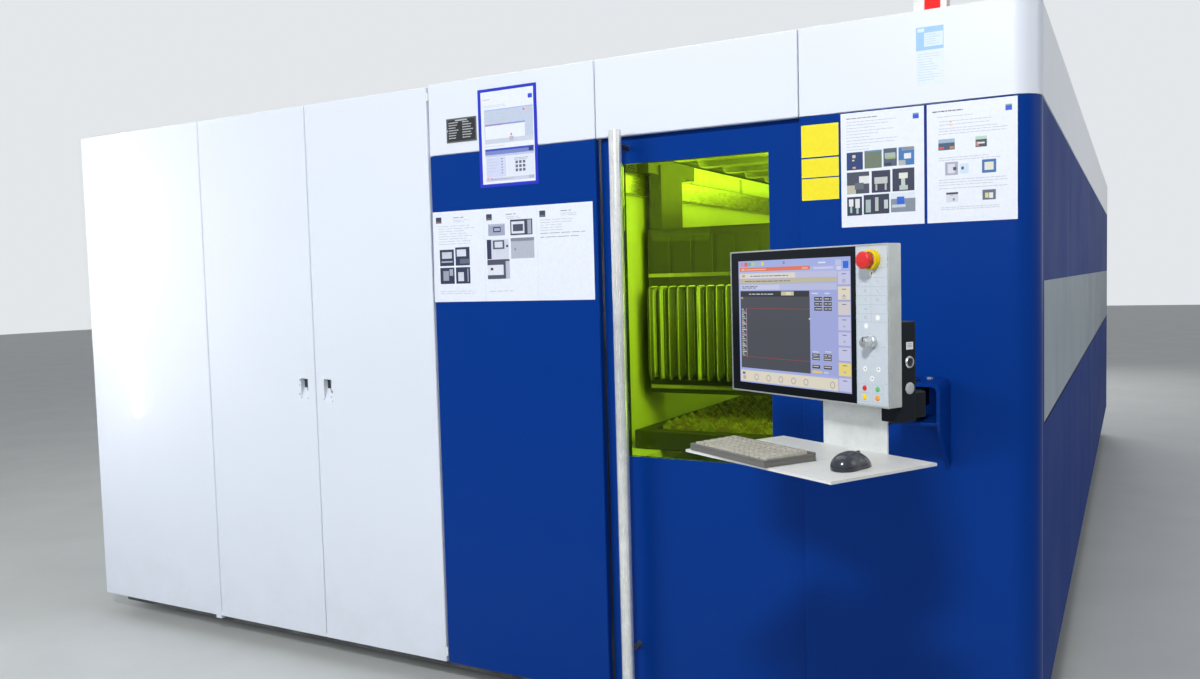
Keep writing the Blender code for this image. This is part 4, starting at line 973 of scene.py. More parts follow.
# %% [markdown]
# ## The operator terminal
# The terminal is a stainless box with a touch screen under one sheet of
# black-edged glass and a film with keys beside it. All of it is drawn in the
# terminal's own directions and turned into place at the end.

# %% Terminal places
def on_terminal(left, right, low, high, stand):
    """Shares to the terminal's face, stand metres in front of it."""

    def place(u, v, depth):
        along = left + u * (right - left)
        up = high - v * (high - low)
        return from_terminal(np.stack([along, -stand + depth + np.zeros_like(u), up], -1))

    return place


def turned_on_terminal(name, profile, centre, finish, body, sides=48, ring=False, **more):
    """A turned shape whose axis runs out of the terminal's face.

    profile holds (radius, distance in front of the face), centre (along, up).
    """
    arrays = aimed(turned(profile, sides, ring=ring), "xZy", (centre[0], 0, centre[1]))
    make_piece(name, arrays, finish, body, 35, place=from_terminal, closed=True, **more)


# %% [markdown]
# ### The picture on the screen
# The control's picture is bars, boxes and round buttons in lilac, cream and
# dark grey. It gives off its own light, so its fields go to the shader's
# emission instead of its base colour.

# %% Screen picture
SCREEN_BLUE, PALE_LILAC = (0.40, 0.47, 0.86), (0.60, 0.62, 0.86)
CREAM, SIGN, VALUE = (0.80, 0.74, 0.60), (0.16, 0.17, 0.26), (0.62, 0.60, 0.52)
DARK_FIELD = (0.072, 0.078, 0.096)
screen_light = new_finish(
    "lit screen", Roughness=0.16, Coat_Weight=0.0, Coat_Roughness=0.05,
    Emission_Strength=0.86, Base_Color=(0.01, 0.01, 0.012), Specular_IOR_Level=0.2,
)
screen_ink = add_node(screen_light, "VertexColor", layer_name="print").outputs["Color"]
to_shader(screen_light, "Emission Color", screen_ink)
ui = list(thousandths([
    (0, 0, 1000, 60, (400, 470, 860)),
    (0, 60, 1000, 100, (460, 520, 860)),
    (0, 100, 893, 145, (560, 580, 800)),
    (20, 12, 55, 45, (620, 320, 500)),
    (60, 12, 92, 45, (700, 160, 160)),
    (97, 14, 125, 40, (200, 520, 220)),
    (130, 12, 162, 45, (460, 660, 400)),
    (168, 14, 215, 42, (360, 560, 660)),
    (226, 12, 250, 42, (820, 720, 100)),
    (431, 14, 447, 36, (450, 200, 220)),
    (740, 30, 800, 42, (800, 830, 920)),
    (700, 70, 860, 82, (660, 700, 900)),
    (880, 20, 925, 60, (560, 600, 880)),
    (890, 68, 925, 94, (700, 740, 920)),
    (940, 32, 984, 84, (20, 160, 760)),
    (12, 56, 670, 86, (840, 200, 100)),
    (30, 64, 60, 78, (860, 600, 500)),
    (70, 68, 270, 76, (900, 560, 400)),
    (600, 66, 650, 78, (880, 500, 360)),
    (18, 103, 540, 144, (780, 750, 700)),
    (35, 112, 65, 134, (700, 400, 240)),
    (12, 148, 893, 184, (580, 530, 380)),
    (12, 190, 890, 240, (520, 560, 820)),
    (20, 198, 395, 232, (620, 660, 880)),
    (12, 240, 895, 880, (380, 430, 780)),
    (16, 246, 662, 292, (30, 32, 40)),
    (410, 251, 525, 282, (660, 580, 340)),
    (455, 256, 500, 278, (800, 760, 600)),
    (16, 292, 664, 880, DARK_FIELD),
    (73, 386, 662, 389, (420, 50, 50)),
    (24, 786, 662, 789, (420, 50, 50)),
    (22, 296, 40, 310, (700, 400, 100)),
    (655, 455, 668, 467, (720, 720, 600)),
    (70, 389, 74, 787, (600, 400, 620)),
    (680, 262, 735, 272, (700, 720, 900)),
    (790, 262, 830, 272, (700, 720, 900)),
    (680, 852, 760, 872, (820, 620, 160)),
    (775, 855, 815, 870, (600, 630, 800)),
    (683, 706, 735, 714, (680, 700, 900)),
    (790, 700, 840, 708, (680, 700, 900)),
    (6, 900, 893, 990, CREAM),
    (24, 915, 52, 935, SIGN),
    (30, 945, 58, 975, (480, 460, 440)),
    (893, 100, 1000, 1000, (400, 420, 760)),
]))
ui += text_blocks(
    (0.030, 0.20, (0.206, 0.218), SIGN, 0.007, 0.8),
    (0.12, 0.50, (0.122,), SIGN, 0.007, 0.8),
    (0.06, 0.50, (0.164,), SIGN, 0.007, 0.8),
    (0.10, 0.36, (0.268,), (0.66, 0.68, 0.72), 0.007, 0.8),
)
LIST_TINTS = ((0.55, 0.62, 0.50), (0.30, 0.50, 0.36), (0.60, 0.40, 0.60), (0.66, 0.64, 0.46))
for step in range(26):
    top = 0.392 + 0.0152 * step
    right = 0.044 + 0.012 * ((step * 7) % 3)
    ui.append((0.026, top, right, top + 0.009, LIST_TINTS[step % 4]))
VALUE_BOXES = thousandths((
    ((703, 769), (781, 848), (294, 332, 369), (28, 28, 28), 10, (45, 48, 60)),
    ((680, 745), (776, 842), (724, 750, 810), (22, 22, 26), 7, (50, 52, 66)),
))
for *columns, tops, heights, sunk, ground in VALUE_BOXES:
    for left, right in columns:
        for top, tall in zip(tops, heights):
            ui.append((left, top, right, top + tall, ground))
            ui += text_rows(left + 0.006, right - 0.004, (top + sunk,), VALUE, 0.008, 0.95)
SIDE_KEYS = (
    PALE_LILAC, CREAM, (0.70, 0.66, 0.68), PALE_LILAC, PALE_LILAC, PALE_LILAC,
    (0.86, 0.72, 0.22), PALE_LILAC,
)
for number, colour in enumerate(SIDE_KEYS):
    top = 0.104 + 0.1122 * number
    ui.append((0.899, top, 0.996, top + 0.098, colour))
    ui.append((0.930, top + 0.018, 0.965, top + 0.024, SIGN))
    if number in (0, 1, 3, 4, 6):
        ui.append((0.938, top + 0.062, 0.956, top + 0.076, (0.46, 0.46, 0.62)))
printed(
    "screen picture", ui, on_terminal(-0.185, 0.197, 1.357, 1.660, 0.0001), SCREEN_BLUE,
    screen_light, "terminal", 0.0002, slot="screen",
)

# %% Round signs on the screen
RING_SIDES, RING_THICKNESS = 24, 0.0002


def rings_on_terminal(name, centres, outer, inner, stand, finish, slot="key_film"):
    """Flat rings: two circles of points for each centre, joined by faces.

    The same points lie again a little deeper, and the rims join both layers.
    """
    angle = np.linspace(0, 2 * np.pi, RING_SIDES, endpoint=False)
    circle = np.stack([np.cos(angle), np.sin(angle)], -1)
    flat = np.asarray(centres)[:, None, None] + np.stack([circle * outer, circle * inner])[None]
    flat = flat.reshape(-1, 2)
    count = len(flat)
    shift = 2 * RING_SIDES * np.arange(len(centres))[:, None, None]
    front = (grid_faces(2, RING_SIDES, around=True)[None] + shift).reshape(-1, 4)
    loops = np.arange(count).reshape(-1, RING_SIDES)
    after = np.roll(loops, -1, axis=1)
    rims = np.stack([loops, after, after + count, loops + count], -1).reshape(-1, 4)
    into = np.repeat([-stand, -stand + RING_THICKNESS], count)
    points = np.stack([np.tile(flat[:, 0], 2), into, np.tile(flat[:, 1], 2)], -1)
    arrays = points, np.vstack([front, front[:, ::-1] + count, rims])
    make_piece(name, arrays, finish, "terminal", slot=slot, place=from_terminal, closed=True)


def on_screen(u, v):
    return -0.185 + 0.382 * u, 1.660 - 0.303 * v


round_signs = new_finish(
    "round screen signs", Roughness=0.3, Base_Color=(0.02, 0.02, 0.03),
    Emission_Color=(0.30, 0.30, 0.42), Emission_Strength=0.8,
)
wide_signs = [on_screen(u, 0.950) for u in (0.164, 0.280, 0.396, 0.512, 0.622, 0.847)]
small_signs = [on_screen(0.947, v) for v in (0.178, 0.294)]
rings_on_terminal(
    "round_screen_signs", wide_signs, 0.0078, 0.0062, 0.0003, round_signs, "screen"
)
rings_on_terminal(
    "small_screen_signs", small_signs, 0.0046, 0.0036, 0.0003, round_signs, "screen"
)

# %% [markdown]
# ### Film keys
# The film beside the screen is one printed sheet: a fine grid, small grey
# signs, and clear windows over a few keys. The emergency stop's collar and
# the knob pass through it.

# %% Key film
LINE = (0.30, 0.345, 0.40)
FILM_LEFT, FILM_RIGHT, FILM_LOW, FILM_HIGH = 0.2123, 0.3022, 1.3373, 1.6807
film = []


def on_film(left, right, low, high, colour=LINE):
    """Adds a field that is given in metres along and up the terminal."""
    across, down = FILM_RIGHT - FILM_LEFT, FILM_HIGH - FILM_LOW
    u0, u1 = (left - FILM_LEFT) / across, (right - FILM_LEFT) / across
    film.append((u0, (FILM_HIGH - high) / down, u1, (FILM_HIGH - low) / down, colour))


def dots_on_film(places, size):
    for along, up in places:
        on_film(along - size, along + size, up - size, up + size)


on_film(0.2150, 0.2995, 1.3400, 1.6780, (0.485, 0.54, 0.60))
for up in (1.6328, 1.6122, 1.5930, 1.5740, 1.5545, 1.5350, 1.5172):
    on_film(0.2165, 0.2980, up - 0.0003, up + 0.0003)
on_film(0.2552, 0.2558, 1.5172, 1.6328)
for left, right in ((0.2195, 0.2505), (0.2565, 0.2880)):
    for low, high in ((1.3645, 1.3825), (1.3440, 1.3630)):
        on_film(left, right, high - 0.0004, high)
        on_film(left, right, low, low + 0.0004)
        on_film(left, left + 0.0004, low, high)
        on_film(right - 0.0004, right, low, high)
HOOK, STAIRS, BAR = range(3)
for along, up, kind in (
    (0.2400, 1.5835, HOOK), (0.2735, 1.5835, STAIRS), (0.2400, 1.5642, STAIRS),
    (0.2740, 1.5642, HOOK), (0.2400, 1.5448, BAR), (0.2395, 1.5262, HOOK),
    (0.2405, 1.6030, BAR), (0.2745, 1.6030, STAIRS),
):
    if kind == HOOK:
        on_film(along - 0.0030, along + 0.0030, up + 0.0022, up + 0.0030, SIGN)
        on_film(along - 0.0030, along - 0.0022, up - 0.0030, up + 0.0030, SIGN)
        on_film(along + 0.0022, along + 0.0030, up - 0.0030, up + 0.0010, SIGN)
    elif kind == STAIRS:
        for k in range(5):
            start, top = along - 0.0030 + 0.0012 * k, up + 0.0040 - 0.0014 * k
            on_film(start, start + 0.0014, top - 0.0010, top, SIGN)
    else:
        on_film(along - 0.0034, along + 0.0034, up - 0.0006, up + 0.0006, SIGN)
KNOB, SCALE_RADIUS = (0.2580, 1.4750), 0.0185
scale = np.radians(np.arange(35, 150, 22))
dots_on_film(
    [(KNOB[0] + SCALE_RADIUS * math.cos(a), KNOB[1] + SCALE_RADIUS * math.sin(a)) for a in scale],
    0.0008,
)
dots_on_film(
    ((0.2860, 1.4640), (0.2920, 1.4640), (0.2565, 1.4440), (0.2150, 1.4100), (0.2960, 1.3860)),
    0.0012,
)
printed(
    "key film print", film, on_terminal(FILM_LEFT, FILM_RIGHT, FILM_LOW, FILM_HIGH, 0.0002),
    (0.42, 0.47, 0.52), film_print, "terminal", slot="key_film",
)

# %% Clear windows and keys of the film
windows = (
    (0.2580, 1.6210), (0.2740, 1.5270), (0.2410, 1.5085), (0.2370, 1.4160), (0.2750, 1.4160),
    (0.2565, 1.3955),
)
signs = ((0.2580, 1.6230), (0.2580, 1.6195), (0.2375, 1.4155), (0.2745, 1.4165), (0.2568, 1.3955))
rings_on_terminal("film_key_windows", windows, 0.0058, 0.0002, 0.0005, white_cap)
rings_on_terminal("film_key_signs", signs, 0.0016, 0.0002, 0.0007, soft_rubber)

# %% [markdown]
# ### Push keys, emergency stop and knob
# Each is a turned piece, so each is a profile carried round: a domed cap for
# the keys, a mushroom over a yellow collar, a ribbed knob with its skirt. The
# profiles give radius and distance in tenths of a millimetre.

# %% Turned controls
TENTH = 0.0001
CAP = np.array([(30, 22), (48, 19), (56, 12), (58, 4), (58, -18)]) * TENTH
for name, finish, place in (
    ("stop", red_cap, (0.2350, 1.3735)),
    ("start", green_cap, (0.2720, 1.3735)),
    ("light", yellow_cap, (0.2350, 1.3540)),
    ("reset", orange_cap, (0.2720, 1.3540)),
):
    node = "button_" + name
    turned_on_terminal(node + "_cap", CAP, place, finish, name + "_key", 32, instead_of=node)

ESTOP = (0.2620, 1.6500)
COLLAR = [(125, 98), (174, 98), (174, 148), (207, 148), (214, 141), (214, 6), (125, 6)]
MUSHROOM = [
    (40, 360), (110, 358), (150, 352), (176, 338), (188, 318), (190, 296), (182, 270),
    (166, 235), (160, 200), (162, 172), (105, 165), (105, 62),
]
turned_on_terminal(
    "emergency_stop_collar", np.array(COLLAR) * TENTH, ESTOP, yellow_cap, "terminal", 56, True,
    slot="key_film",
)
turned_on_terminal(
    "emergency_stop_mushroom", np.array(MUSHROOM) * TENTH, ESTOP, red_cap, "stop_mushroom", 56,
    instead_of="estop_button",
)
GRIP = [
    (60, 300), (92, 298), (104, 290), (108, 276), (110, 110), (128, 100), (139, 88), (140, 7),
]
points, faces = turned(np.array(GRIP) * TENTH, 96)
angles = np.arctan2(points[:, 1], points[:, 0])
radii = np.hypot(points[:, 0], points[:, 1])
on_grip = (points[:, 2] > 0.0105) & (points[:, 2] < 0.0285) & (radii > 0.0104)
points[:, :2] *= (1 - 0.035 * on_grip * (0.5 + 0.5 * np.cos(24 * angles)))[:, None]
make_piece(
    "feed_knob_body", aimed((points, faces), "xZy", (KNOB[0], 0, KNOB[1])), bright_metal,
    "feed_knob", 30, instead_of="override_knob", place=from_terminal, closed=True,
)
x, z = KNOB
make_piece(
    "feed_knob_pointer", boxes([x - 0.0009, -0.0304, z + 0.0015, x + 0.0009, -0.0120, z + 0.0114]),
    soft_rubber, "feed_knob", slot="galvanised", place=from_terminal,
)

# %% [markdown]
# ### Housing edges and the box behind
# The stainless housing has a bright folded rim round the glass. The black box
# behind carries a small white label, a socket in a silver ring, and a grey
# cap.

# %% Rim, socket and cap
left, right, low, high, RIM = -0.216, 0.304, 1.334, 1.684, 0.0028
rim_boxes = [
    (left, -0.0012, low, right, 0.0009, low + RIM),
    (left, -0.0012, high - RIM, right, 0.0009, high),
    (left, -0.0012, low + RIM, left + RIM, 0.0009, high - RIM),
    (right - 0.0014, -0.0012, low + RIM, right, 0.0009, high - RIM),
]
make_piece(
    "housing_rim", boxes(rim_boxes), rim_steel, "terminal", slot="brushed_stainless",
    place=from_terminal, rounded=(0.0003, 1),
)
SOCKET, SIDE_CAP = (0.2960, 0.0705, 1.4287), (0.2960, 0.0710, 1.3720)
for name, profile, place, finish in (
    ("socket_ring", [(85, 10), (92, 34), (118, 34), (133, 16), (133, 2)], SOCKET, bright_metal),
    ("socket_inside", [(45, 12), (86, 14), (86, 4)], SOCKET, soft_rubber),
    ("grey_side_cap", [(80, 42), (112, 36), (128, 20), (130, 2)], SIDE_CAP, grey_cap),
):
    make_piece(
        name, aimed(turned(np.array(profile) * TENTH), "zxy", place), finish, "terminal", 35,
        slot="black_paint", place=from_terminal, closed=True,
    )


def on_box_side(u, v, depth):
    beside = 0.2964 - depth + np.zeros_like(u)
    return from_terminal(np.stack([beside, 0.0615 + 0.021 * u, 1.4720 - 0.016 * v], -1))


printed(
    "small white label", text_rows(0.12, 0.88, (0.20, 0.40, 0.60), INK, 0.09, 0.9), on_box_side,
    (0.78, 0.80, 0.82), label_foil, "terminal", slot="black_paint",
)
print("terminal dressed")

# %% [markdown]
# ## The black box, the arm's bracket and the shelf
# Behind the screen a black box holds the swivel joint. Its edges are folded
# sheet, so a small bevel catches the light. The bracket on the wall is one
# blue sheet: a flange bent down into a cheek round a soft corner. It is drawn
# as a path in one plane and carried away from the wall. Above 1.18 m it has
# its full reach, and below that the cheek runs back to the wall.

# %% Black box
box_parts = [
    (0.2425, 0.0405, 1.298, 0.296, 0.092, 1.5165),
    (0.036, 0.0645, 1.298, 0.158, 0.185, 1.372),
    (0.158, 0.0645, 1.298, 0.262, 0.163, 1.356),
]
make_piece(
    "black_box", boxes(box_parts), black_coat, "terminal", instead_of="terminal_rear_box",
    place=from_terminal, rounded=(0.003, 3),
)

# %% Bracket
BRACKET_THICKNESS = 0.009
turn = np.radians(np.linspace(90, 0, 13))
bend = np.stack([-0.272 + 0.025 * np.cos(turn), 1.277 + 0.025 * np.sin(turn)], -1)
cheek = np.stack([np.full(16, -0.247), np.linspace(1.268, 1.0405, 16)], -1)
path = np.vstack([[(-0.385, 1.302)], bend, cheek])
step = np.gradient(path, axis=0)
step /= np.linalg.norm(step, axis=1)[:, None]
inner = path + np.stack([step[:, 1], -step[:, 0]], -1) * BRACKET_THICKNESS
outline = np.vstack([path, inner[::-1]])
reach = np.interp(outline[:, 1], (1.0405, 1.165, 1.18), (-0.030, -0.178, -0.190))
loops = np.stack([np.insert(outline, 1, y, axis=1) for y in (-0.0004, reach)])
make_piece(
    "arm_bracket_sheet", tube_with_flat_ends(loops), blue_coat, "machine", 40,
    instead_of="arm_bracket", closed=True,
)
shelf_parts = [
    (-0.385, -0.186, 1.1805, -0.2565, -0.0006, 1.1895),
    (-0.380, -0.0030, 1.150, -0.2565, -0.0006, 1.300),
]
make_piece(
    "arm_bracket_shelf", boxes(shelf_parts), blue_coat, "machine", slot="blue_paint",
    rounded=(0.0015,),
)


def repeated(arrays, places):
    """The same shape once at each place, as one pair of arrays."""
    points, faces = arrays
    many = [[n * len(points) + k for k in face] for n in range(len(places)) for face in faces]
    return np.vstack([points + place for place in places]), many


screw = turned(((0.009, 0.0045), (0.0104, 0.0035), (0.0104, 0.0001)), 6)
screws = repeated(screw, [(-0.352, -0.045, 1.302), (-0.300, -0.045, 1.302)])
make_piece("bracket_screws", screws, zinc_sheet, "machine", slot="galvanised")

# %% [markdown]
# The shelf is a white laminate sheet with a raised front lip that has worn
# at its corner, where the dark core shows.

# %% Shelf corner
make_piece(
    "shelf_worn_corner", boxes([-0.0935, -0.2429, 1.2170, -0.052, -0.2400, 1.2221]),
    soft_rubber, "terminal", slot="black_paint", place=from_terminal,
)

# %% [markdown]
# ## Keyboard and mouse
# The keyboard is a dark tray with a raised rim and some eighty single keys.
# One key is a box that narrows to its top. All keys are the same array of
# eight corners, stretched and shifted, so the whole field is one short sum.

# %% Keyboard
SHELF_TOP = 1.2228


def on_shelf(along, into, degrees):
    """Turns x and y about the upright axis, shifts them, lifts all to the shelf."""
    cosine, sine = math.cos(math.radians(degrees)), math.sin(math.radians(degrees))

    def place(points):
        x, y, z = np.asarray(points, float).T
        across, back = along + x * cosine - y * sine, into + x * sine + y * cosine
        return from_terminal(np.stack([across, back, z + SHELF_TOP], -1))

    return place


from_board = on_shelf(0.062, -0.178, -3)
tray = [
    (-0.138, -0.070, 0.0, 0.138, 0.070, 0.011),
    (-0.138, -0.070, 0.011, 0.138, -0.0615, 0.0155),
    (-0.138, 0.0615, 0.011, 0.138, 0.070, 0.0185),
    (-0.138, -0.0615, 0.011, -0.1335, 0.0615, 0.0165),
    (0.1335, -0.0615, 0.011, 0.138, 0.0615, 0.0165),
]
make_piece(
    "keyboard_tray", boxes(tray), keyboard_tray, "terminal", instead_of="keyboard",
    place=from_board, rounded=(0.0012,),
)
KEY_PITCH, KEY_GAP, KEY_TAPER, KEYS_LEFT, KEYS_WIDE = 0.0201, 0.0016, 0.0016, -0.1325, 0.265
KEY_ROWS = (
    (1, 1, 1, 5.6, 1, 1, 1, 1, 1, 1.4),
    (1.9, 1, 1, 1, 1, 1, 1, 1, 1, 1, 1, 1.2, 1, 0.9),
    (1.6, 1, 1, 1, 1, 1, 1, 1, 1, 1, 1, 1, 1.5, 0.9),
    (1.4, 1, 1, 1, 1, 1, 1, 1, 1, 1, 1, 1, 1, 0.7, 0.9),
    (1, 1, 1, 1, 1, 1, 1, 1, 1, 1, 1, 1, 1, 1.1, 0.9),
    (0.9,) * 16 + (0.6,),
)
keys = []
for row, widths in enumerate(KEY_ROWS):
    tall = (0.7 if row == 5 else 1.0) * KEY_PITCH - KEY_GAP
    y, top = -0.0600 + KEY_PITCH * row, 0.0192 + 0.0008 * row
    x = KEYS_LEFT
    for wide in np.array(widths) * KEYS_WIDE / sum(widths):
        keys.append((x + KEY_GAP / 2, y, 0.0105, x + wide - KEY_GAP / 2, y + tall, top))
        x += wide
keys = np.array(keys)
points, faces = boxes(keys)
corners = points.reshape(-1, 8, 3)
middle = corners.mean(axis=1, keepdims=True)
at_top = corners[..., 2:] > middle[..., 2:]
corners[..., :2] += np.sign(middle - corners)[..., :2] * KEY_TAPER * at_top
make_piece(
    "keyboard_keys", (corners.reshape(-1, 3), faces), key_cap, "terminal",
    slot="keyboard_plastic", place=from_board, rounded=(0.0006, 2, 20),
)
marks = keys[:, [0, 4, 5]] + (0.0030, -0.0085, -0.0001)
make_piece(
    "keyboard_signs", boxes(np.hstack([marks, marks + (0.0028, 0.0030, 0.00022)])),
    keyboard_tray, "terminal", slot="keyboard_plastic", place=from_board,
)
print(len(keys), "keys")

# %% [markdown]
# The mouse is a dome over a rounded outline: the outline shrinks towards the
# top as a power of the height, and the highest place sits behind the middle.
# The split between its two keys and the wheel are laid on the same surface.

# %% Mouse
from_mouse = on_shelf(0.305, -0.115, 12)
MOUSE_ROWS, MOUSE_SIDES, MOUSE_TOP = 26, 72, 0.0365


def mouse_surface(around, rise):
    """Angle and share of height to a point on the shell.

    outline = superellipse of half width 30 mm and half length 55.5 mm,
    narrower at the waist; it shrinks with sqrt(1 - rise^2.1) and shifts
    towards the hand as it rises.
    """
    cosine, sine = np.cos(around), np.sin(around)
    square = (np.abs(cosine) ** 2.4 + np.abs(sine) ** 2.4) ** (-1 / 2.4)
    waist = 1 - 0.10 * np.exp(-((sine * square + 0.05) ** 2) / 0.12)
    shrink = np.sqrt(np.clip(1 - rise**2.1, 0, 1))
    bulge = 1 + 0.035 * np.sin(np.clip(rise, 0, 1) * np.pi)
    x = 0.0300 * cosine * square * waist * shrink * bulge
    y = 0.0555 * sine * square * shrink - 0.010 * rise
    lift = MOUSE_TOP * rise * (1 - 0.12 * np.clip(y / 0.055, 0, 1) ** 2)
    return np.stack([x, y, lift], -1)


around, rise = np.meshgrid(
    np.linspace(0, 2 * np.pi, MOUSE_SIDES, endpoint=False),
    1 - (1 - np.linspace(0, 0.9995, MOUSE_ROWS)) ** 1.6,
)
rings = mouse_surface(around, rise).reshape(-1, 3)
ring_faces = grid_faces(MOUSE_ROWS, MOUSE_SIDES, around=True)
shell = with_ends(rings, ring_faces, MOUSE_SIDES, (0, 0, 0), (0, -0.010, MOUSE_TOP))
make_piece(
    "mouse_shell", shell, mouse_shell, "terminal", 60, instead_of="mouse", place=from_mouse,
    closed=True,
)


def strip_on_mouse(name, around, rise, wide, stand):
    """A narrow band along a line of the shell, a little above it."""
    middle = mouse_surface(around, rise)
    step = np.gradient(middle, axis=0)
    step /= np.linalg.norm(step, axis=1)[:, None]
    side = np.cross(step, middle - (0.0, -0.008, 0.0))
    side /= np.linalg.norm(side, axis=1)[:, None]
    up = np.cross(side, step)
    corners = ((-1, -0.0006), (1, -0.0006), (1, stand), (-1, stand))
    loops = [middle + side * half * wide / 2 + up * height for half, height in corners]
    make_piece(
        name, tube_with_flat_ends(np.stack(loops, 1)), soft_rubber, "terminal",
        slot="mouse_plastic", place=from_mouse, closed=True,
    )


strip_on_mouse(
    "mouse_key_split", np.full(24, np.pi / 2), np.linspace(0.12, 0.93, 24), 0.0009, 0.00012
)
across = np.linspace(0.02, 0.98, 40) * np.pi
strip_on_mouse("mouse_key_line", across, 0.30 + 0.60 * np.sin(across) ** 0.6, 0.0007, 0.00010)
wheel = np.array([(40, -30), (62, -22), (66, 0), (62, 22), (40, 30)]) * TENTH
make_piece(
    "mouse_wheel", aimed(turned(wheel, 28), "zxy", (0, 0.026, 0.0262)), soft_rubber, "terminal",
    30, slot="mouse_plastic", place=from_mouse, closed=True,
)

# %% [markdown]
# ## Round things on the enclosure
# The door's handle is a tube over the whole height, closed by flat caps, on
# two short pins. The two corner panels bend from the front into the side. A
# solid has flat facets there; a smooth surface takes their place.

# %% Handle
HANDLE_X, HANDLE_Y, HANDLE_LOW, HANDLE_HIGH = -1.335, -0.060, 0.140, 2.137
tube = [(0.0190, HANDLE_LOW), (0.0215, HANDLE_LOW + 0.0004), (0.0225, HANDLE_LOW + 0.0014)]
for radius, under_top in (
    (225, 230), (221, 226), (221, 218), (225, 214), (225, 14), (215, 4), (190, 0)
):
    tube.append((radius * TENTH, HANDLE_HIGH - under_top * TENTH))
make_piece(
    "door_handle_tube", turned(tube, 64, (HANDLE_X, HANDLE_Y, 0)), polished_tube,
    "sliding_door", 30, instead_of="door_handle", closed=True,
)
pin = turned(np.array([(95, 150), (95, 926), (110, 930), (110, 937), (95, 938)]) * TENTH, 32)
for name, up in (("upper_handle_pin", 2.085), ("lower_handle_pin", 0.300)):
    make_piece(
        name, aimed(pin, "xzy", (HANDLE_X, HANDLE_Y, up)), dark_coat, "sliding_door", 30,
        slot="polished_tube", closed=True,
    )

# %% Door top strip and a painted seam shadow
strip_and_shadow_boxes = boxes([
    (-1.4400, 0.0350, 2.1165, -0.6740, 0.0630, 2.1340),
    (-0.7085, 0.0328, 0.1010, -0.7030, 0.0345, 2.1170),
])
# The second box is a thin black strip on the leaf beside the corner panel: painted shadow of the
# panel's edge.
strip_and_shadow_piece = make_piece("door_top_strip_and_seam_shadow", strip_and_shadow_boxes, blue_coat, "sliding_door", slot="blue_paint")
strip_and_shadow_piece.data.materials.append(soft_rubber)
strip_and_shadow_piece.data.polygons.foreach_set("material_index", np.repeat([0, 1], 6))

# %% Rounded corner panels
turn = np.radians(np.linspace(-90, 0, 25))
arc = np.stack([-0.080 + 0.080 * np.cos(turn), 0.080 + 0.080 * np.sin(turn)], -1)
back = [(0.0, 0.095), (-0.030, 0.095), (-0.030, 0.030)]
outline = np.vstack([[(-0.702, 0.030), (-0.702, 0.0)], arc, back])
count = len(outline)
sides = [list(f) for f in grid_faces(2, count, around=True)]
sides += [list(range(count))[::-1], list(range(count, 2 * count))]
for name, node, low, high, finish in (
    ("header_corner_sheet", "front_header_corner", 2.1246, 2.4000, white_coat),
    ("blue_corner_sheet", "front_panel_corner", 0.1000, 2.1226, blue_coat),
):
    points = np.vstack([np.insert(outline, 2, z, axis=1) for z in (low, high)])
    make_piece(
        name, (points, sides), finish, "machine", 30, instead_of=node, closed=True,
        rounded=(0.0012,),
    )

# %% [markdown]
# ## Lamps on the roof
# The round beacon is a ribbed amber lens on a dark foot. The small box beside
# it has a red lens between two white ends. A lens is clear plastic: light
# enters and leaves it, and a little glow tells that the machine is on.

# %% Beacon and signal box
def lit_lens(name, colour, glow):
    finish = new_finish(
        name, Roughness=0.12, Base_Color=colour, Transmission_Weight=0.35, IOR=1.45,
        Emission_Color=colour, Emission_Strength=glow,
    )
    bump(finish, noise(finish, 300.0, 1.0, 0.5, (1.0, 1.0, 0.02)), 0.0002, 0.4)
    return finish


amber_lens = lit_lens("amber lens", (0.95, 0.16, 0.01), 0.55)
red_lens = lit_lens("red lens", (0.80, 0.010, 0.008), 0.45)
BEACON_AT = (-0.120, 0.150, 2.38)
foot = [(440, 45), (460, 50), (460, 190), (445, 230), (415, 250)]
lens = [(405, 245)]
for rib in range(280, 961, 85):
    lens += [(400, rib), (392, rib + 28), (400, rib + 56)]
lens += [(385, 1080), (340, 1140), (240, 1175), (100, 1190)]
make_piece(
    "beacon_foot", turned(np.array(foot) * TENTH, 56, BEACON_AT), soft_rubber, "machine", 35,
    instead_of="beacon", closed=True,
)
make_piece(
    "beacon_lens", turned(np.array(lens) * TENTH, 56, BEACON_AT), amber_lens, "machine", 40,
    slot="orange_lens", closed=True,
)
signal_ends = [
    (-0.370, 0.110, 2.3845, -0.336, 0.170, 2.464), (-0.2895, 0.110, 2.3845, -0.270, 0.170, 2.464)
]
make_piece(
    "signal_box_ends", boxes(signal_ends), white_cap, "machine", instead_of="signal_lamp",
    rounded=(0.003, 3),
)
make_piece(
    "signal_box_lens", boxes([-0.3355, 0.1115, 2.3845, -0.2900, 0.1685, 2.4625]), red_lens,
    "machine", slot="red_plastic", rounded=(0.002, 3),
)
make_piece(
    "signal_box_gland", boxes([-0.2699, 0.1150, 2.3990, -0.2600, 0.1450, 2.4250]), soft_rubber,
    "machine", slot="black_paint",
)
print("enclosure pieces placed")

# %% [markdown]
# ## Inside the chamber
# Through the pane one sees bright sheet walls, the ribbed roof, the gantry
# and its bellows. The walls get a thin bright lining, so the light of the
# chamber's lamps goes round as in the real machine.

# %% Lining
lining = [
    (-2.2150, 0.6200, 0.3000, -2.2050, 7.6050, 2.3150),
    (-0.0320, 0.1200, 0.3000, -0.0304, 0.9400, 2.0500),
    (-2.1600, 7.6060, 1.0600, -0.0600, 7.6090, 2.3000),
    (-2.2040, 0.9000, 1.9900, -2.1960, 7.5000, 2.0020),
]
make_piece("chamber_lining", boxes(lining), lining_white, "machine", slot="galvanised")
ribs = [(-2.2045, 0.90 + 0.86 * n, 0.60, -2.1960, 0.93 + 0.86 * n, 2.30) for n in range(8)]
make_piece("lining_ribs", boxes(ribs), zinc_sheet, "machine", slot="galvanised")
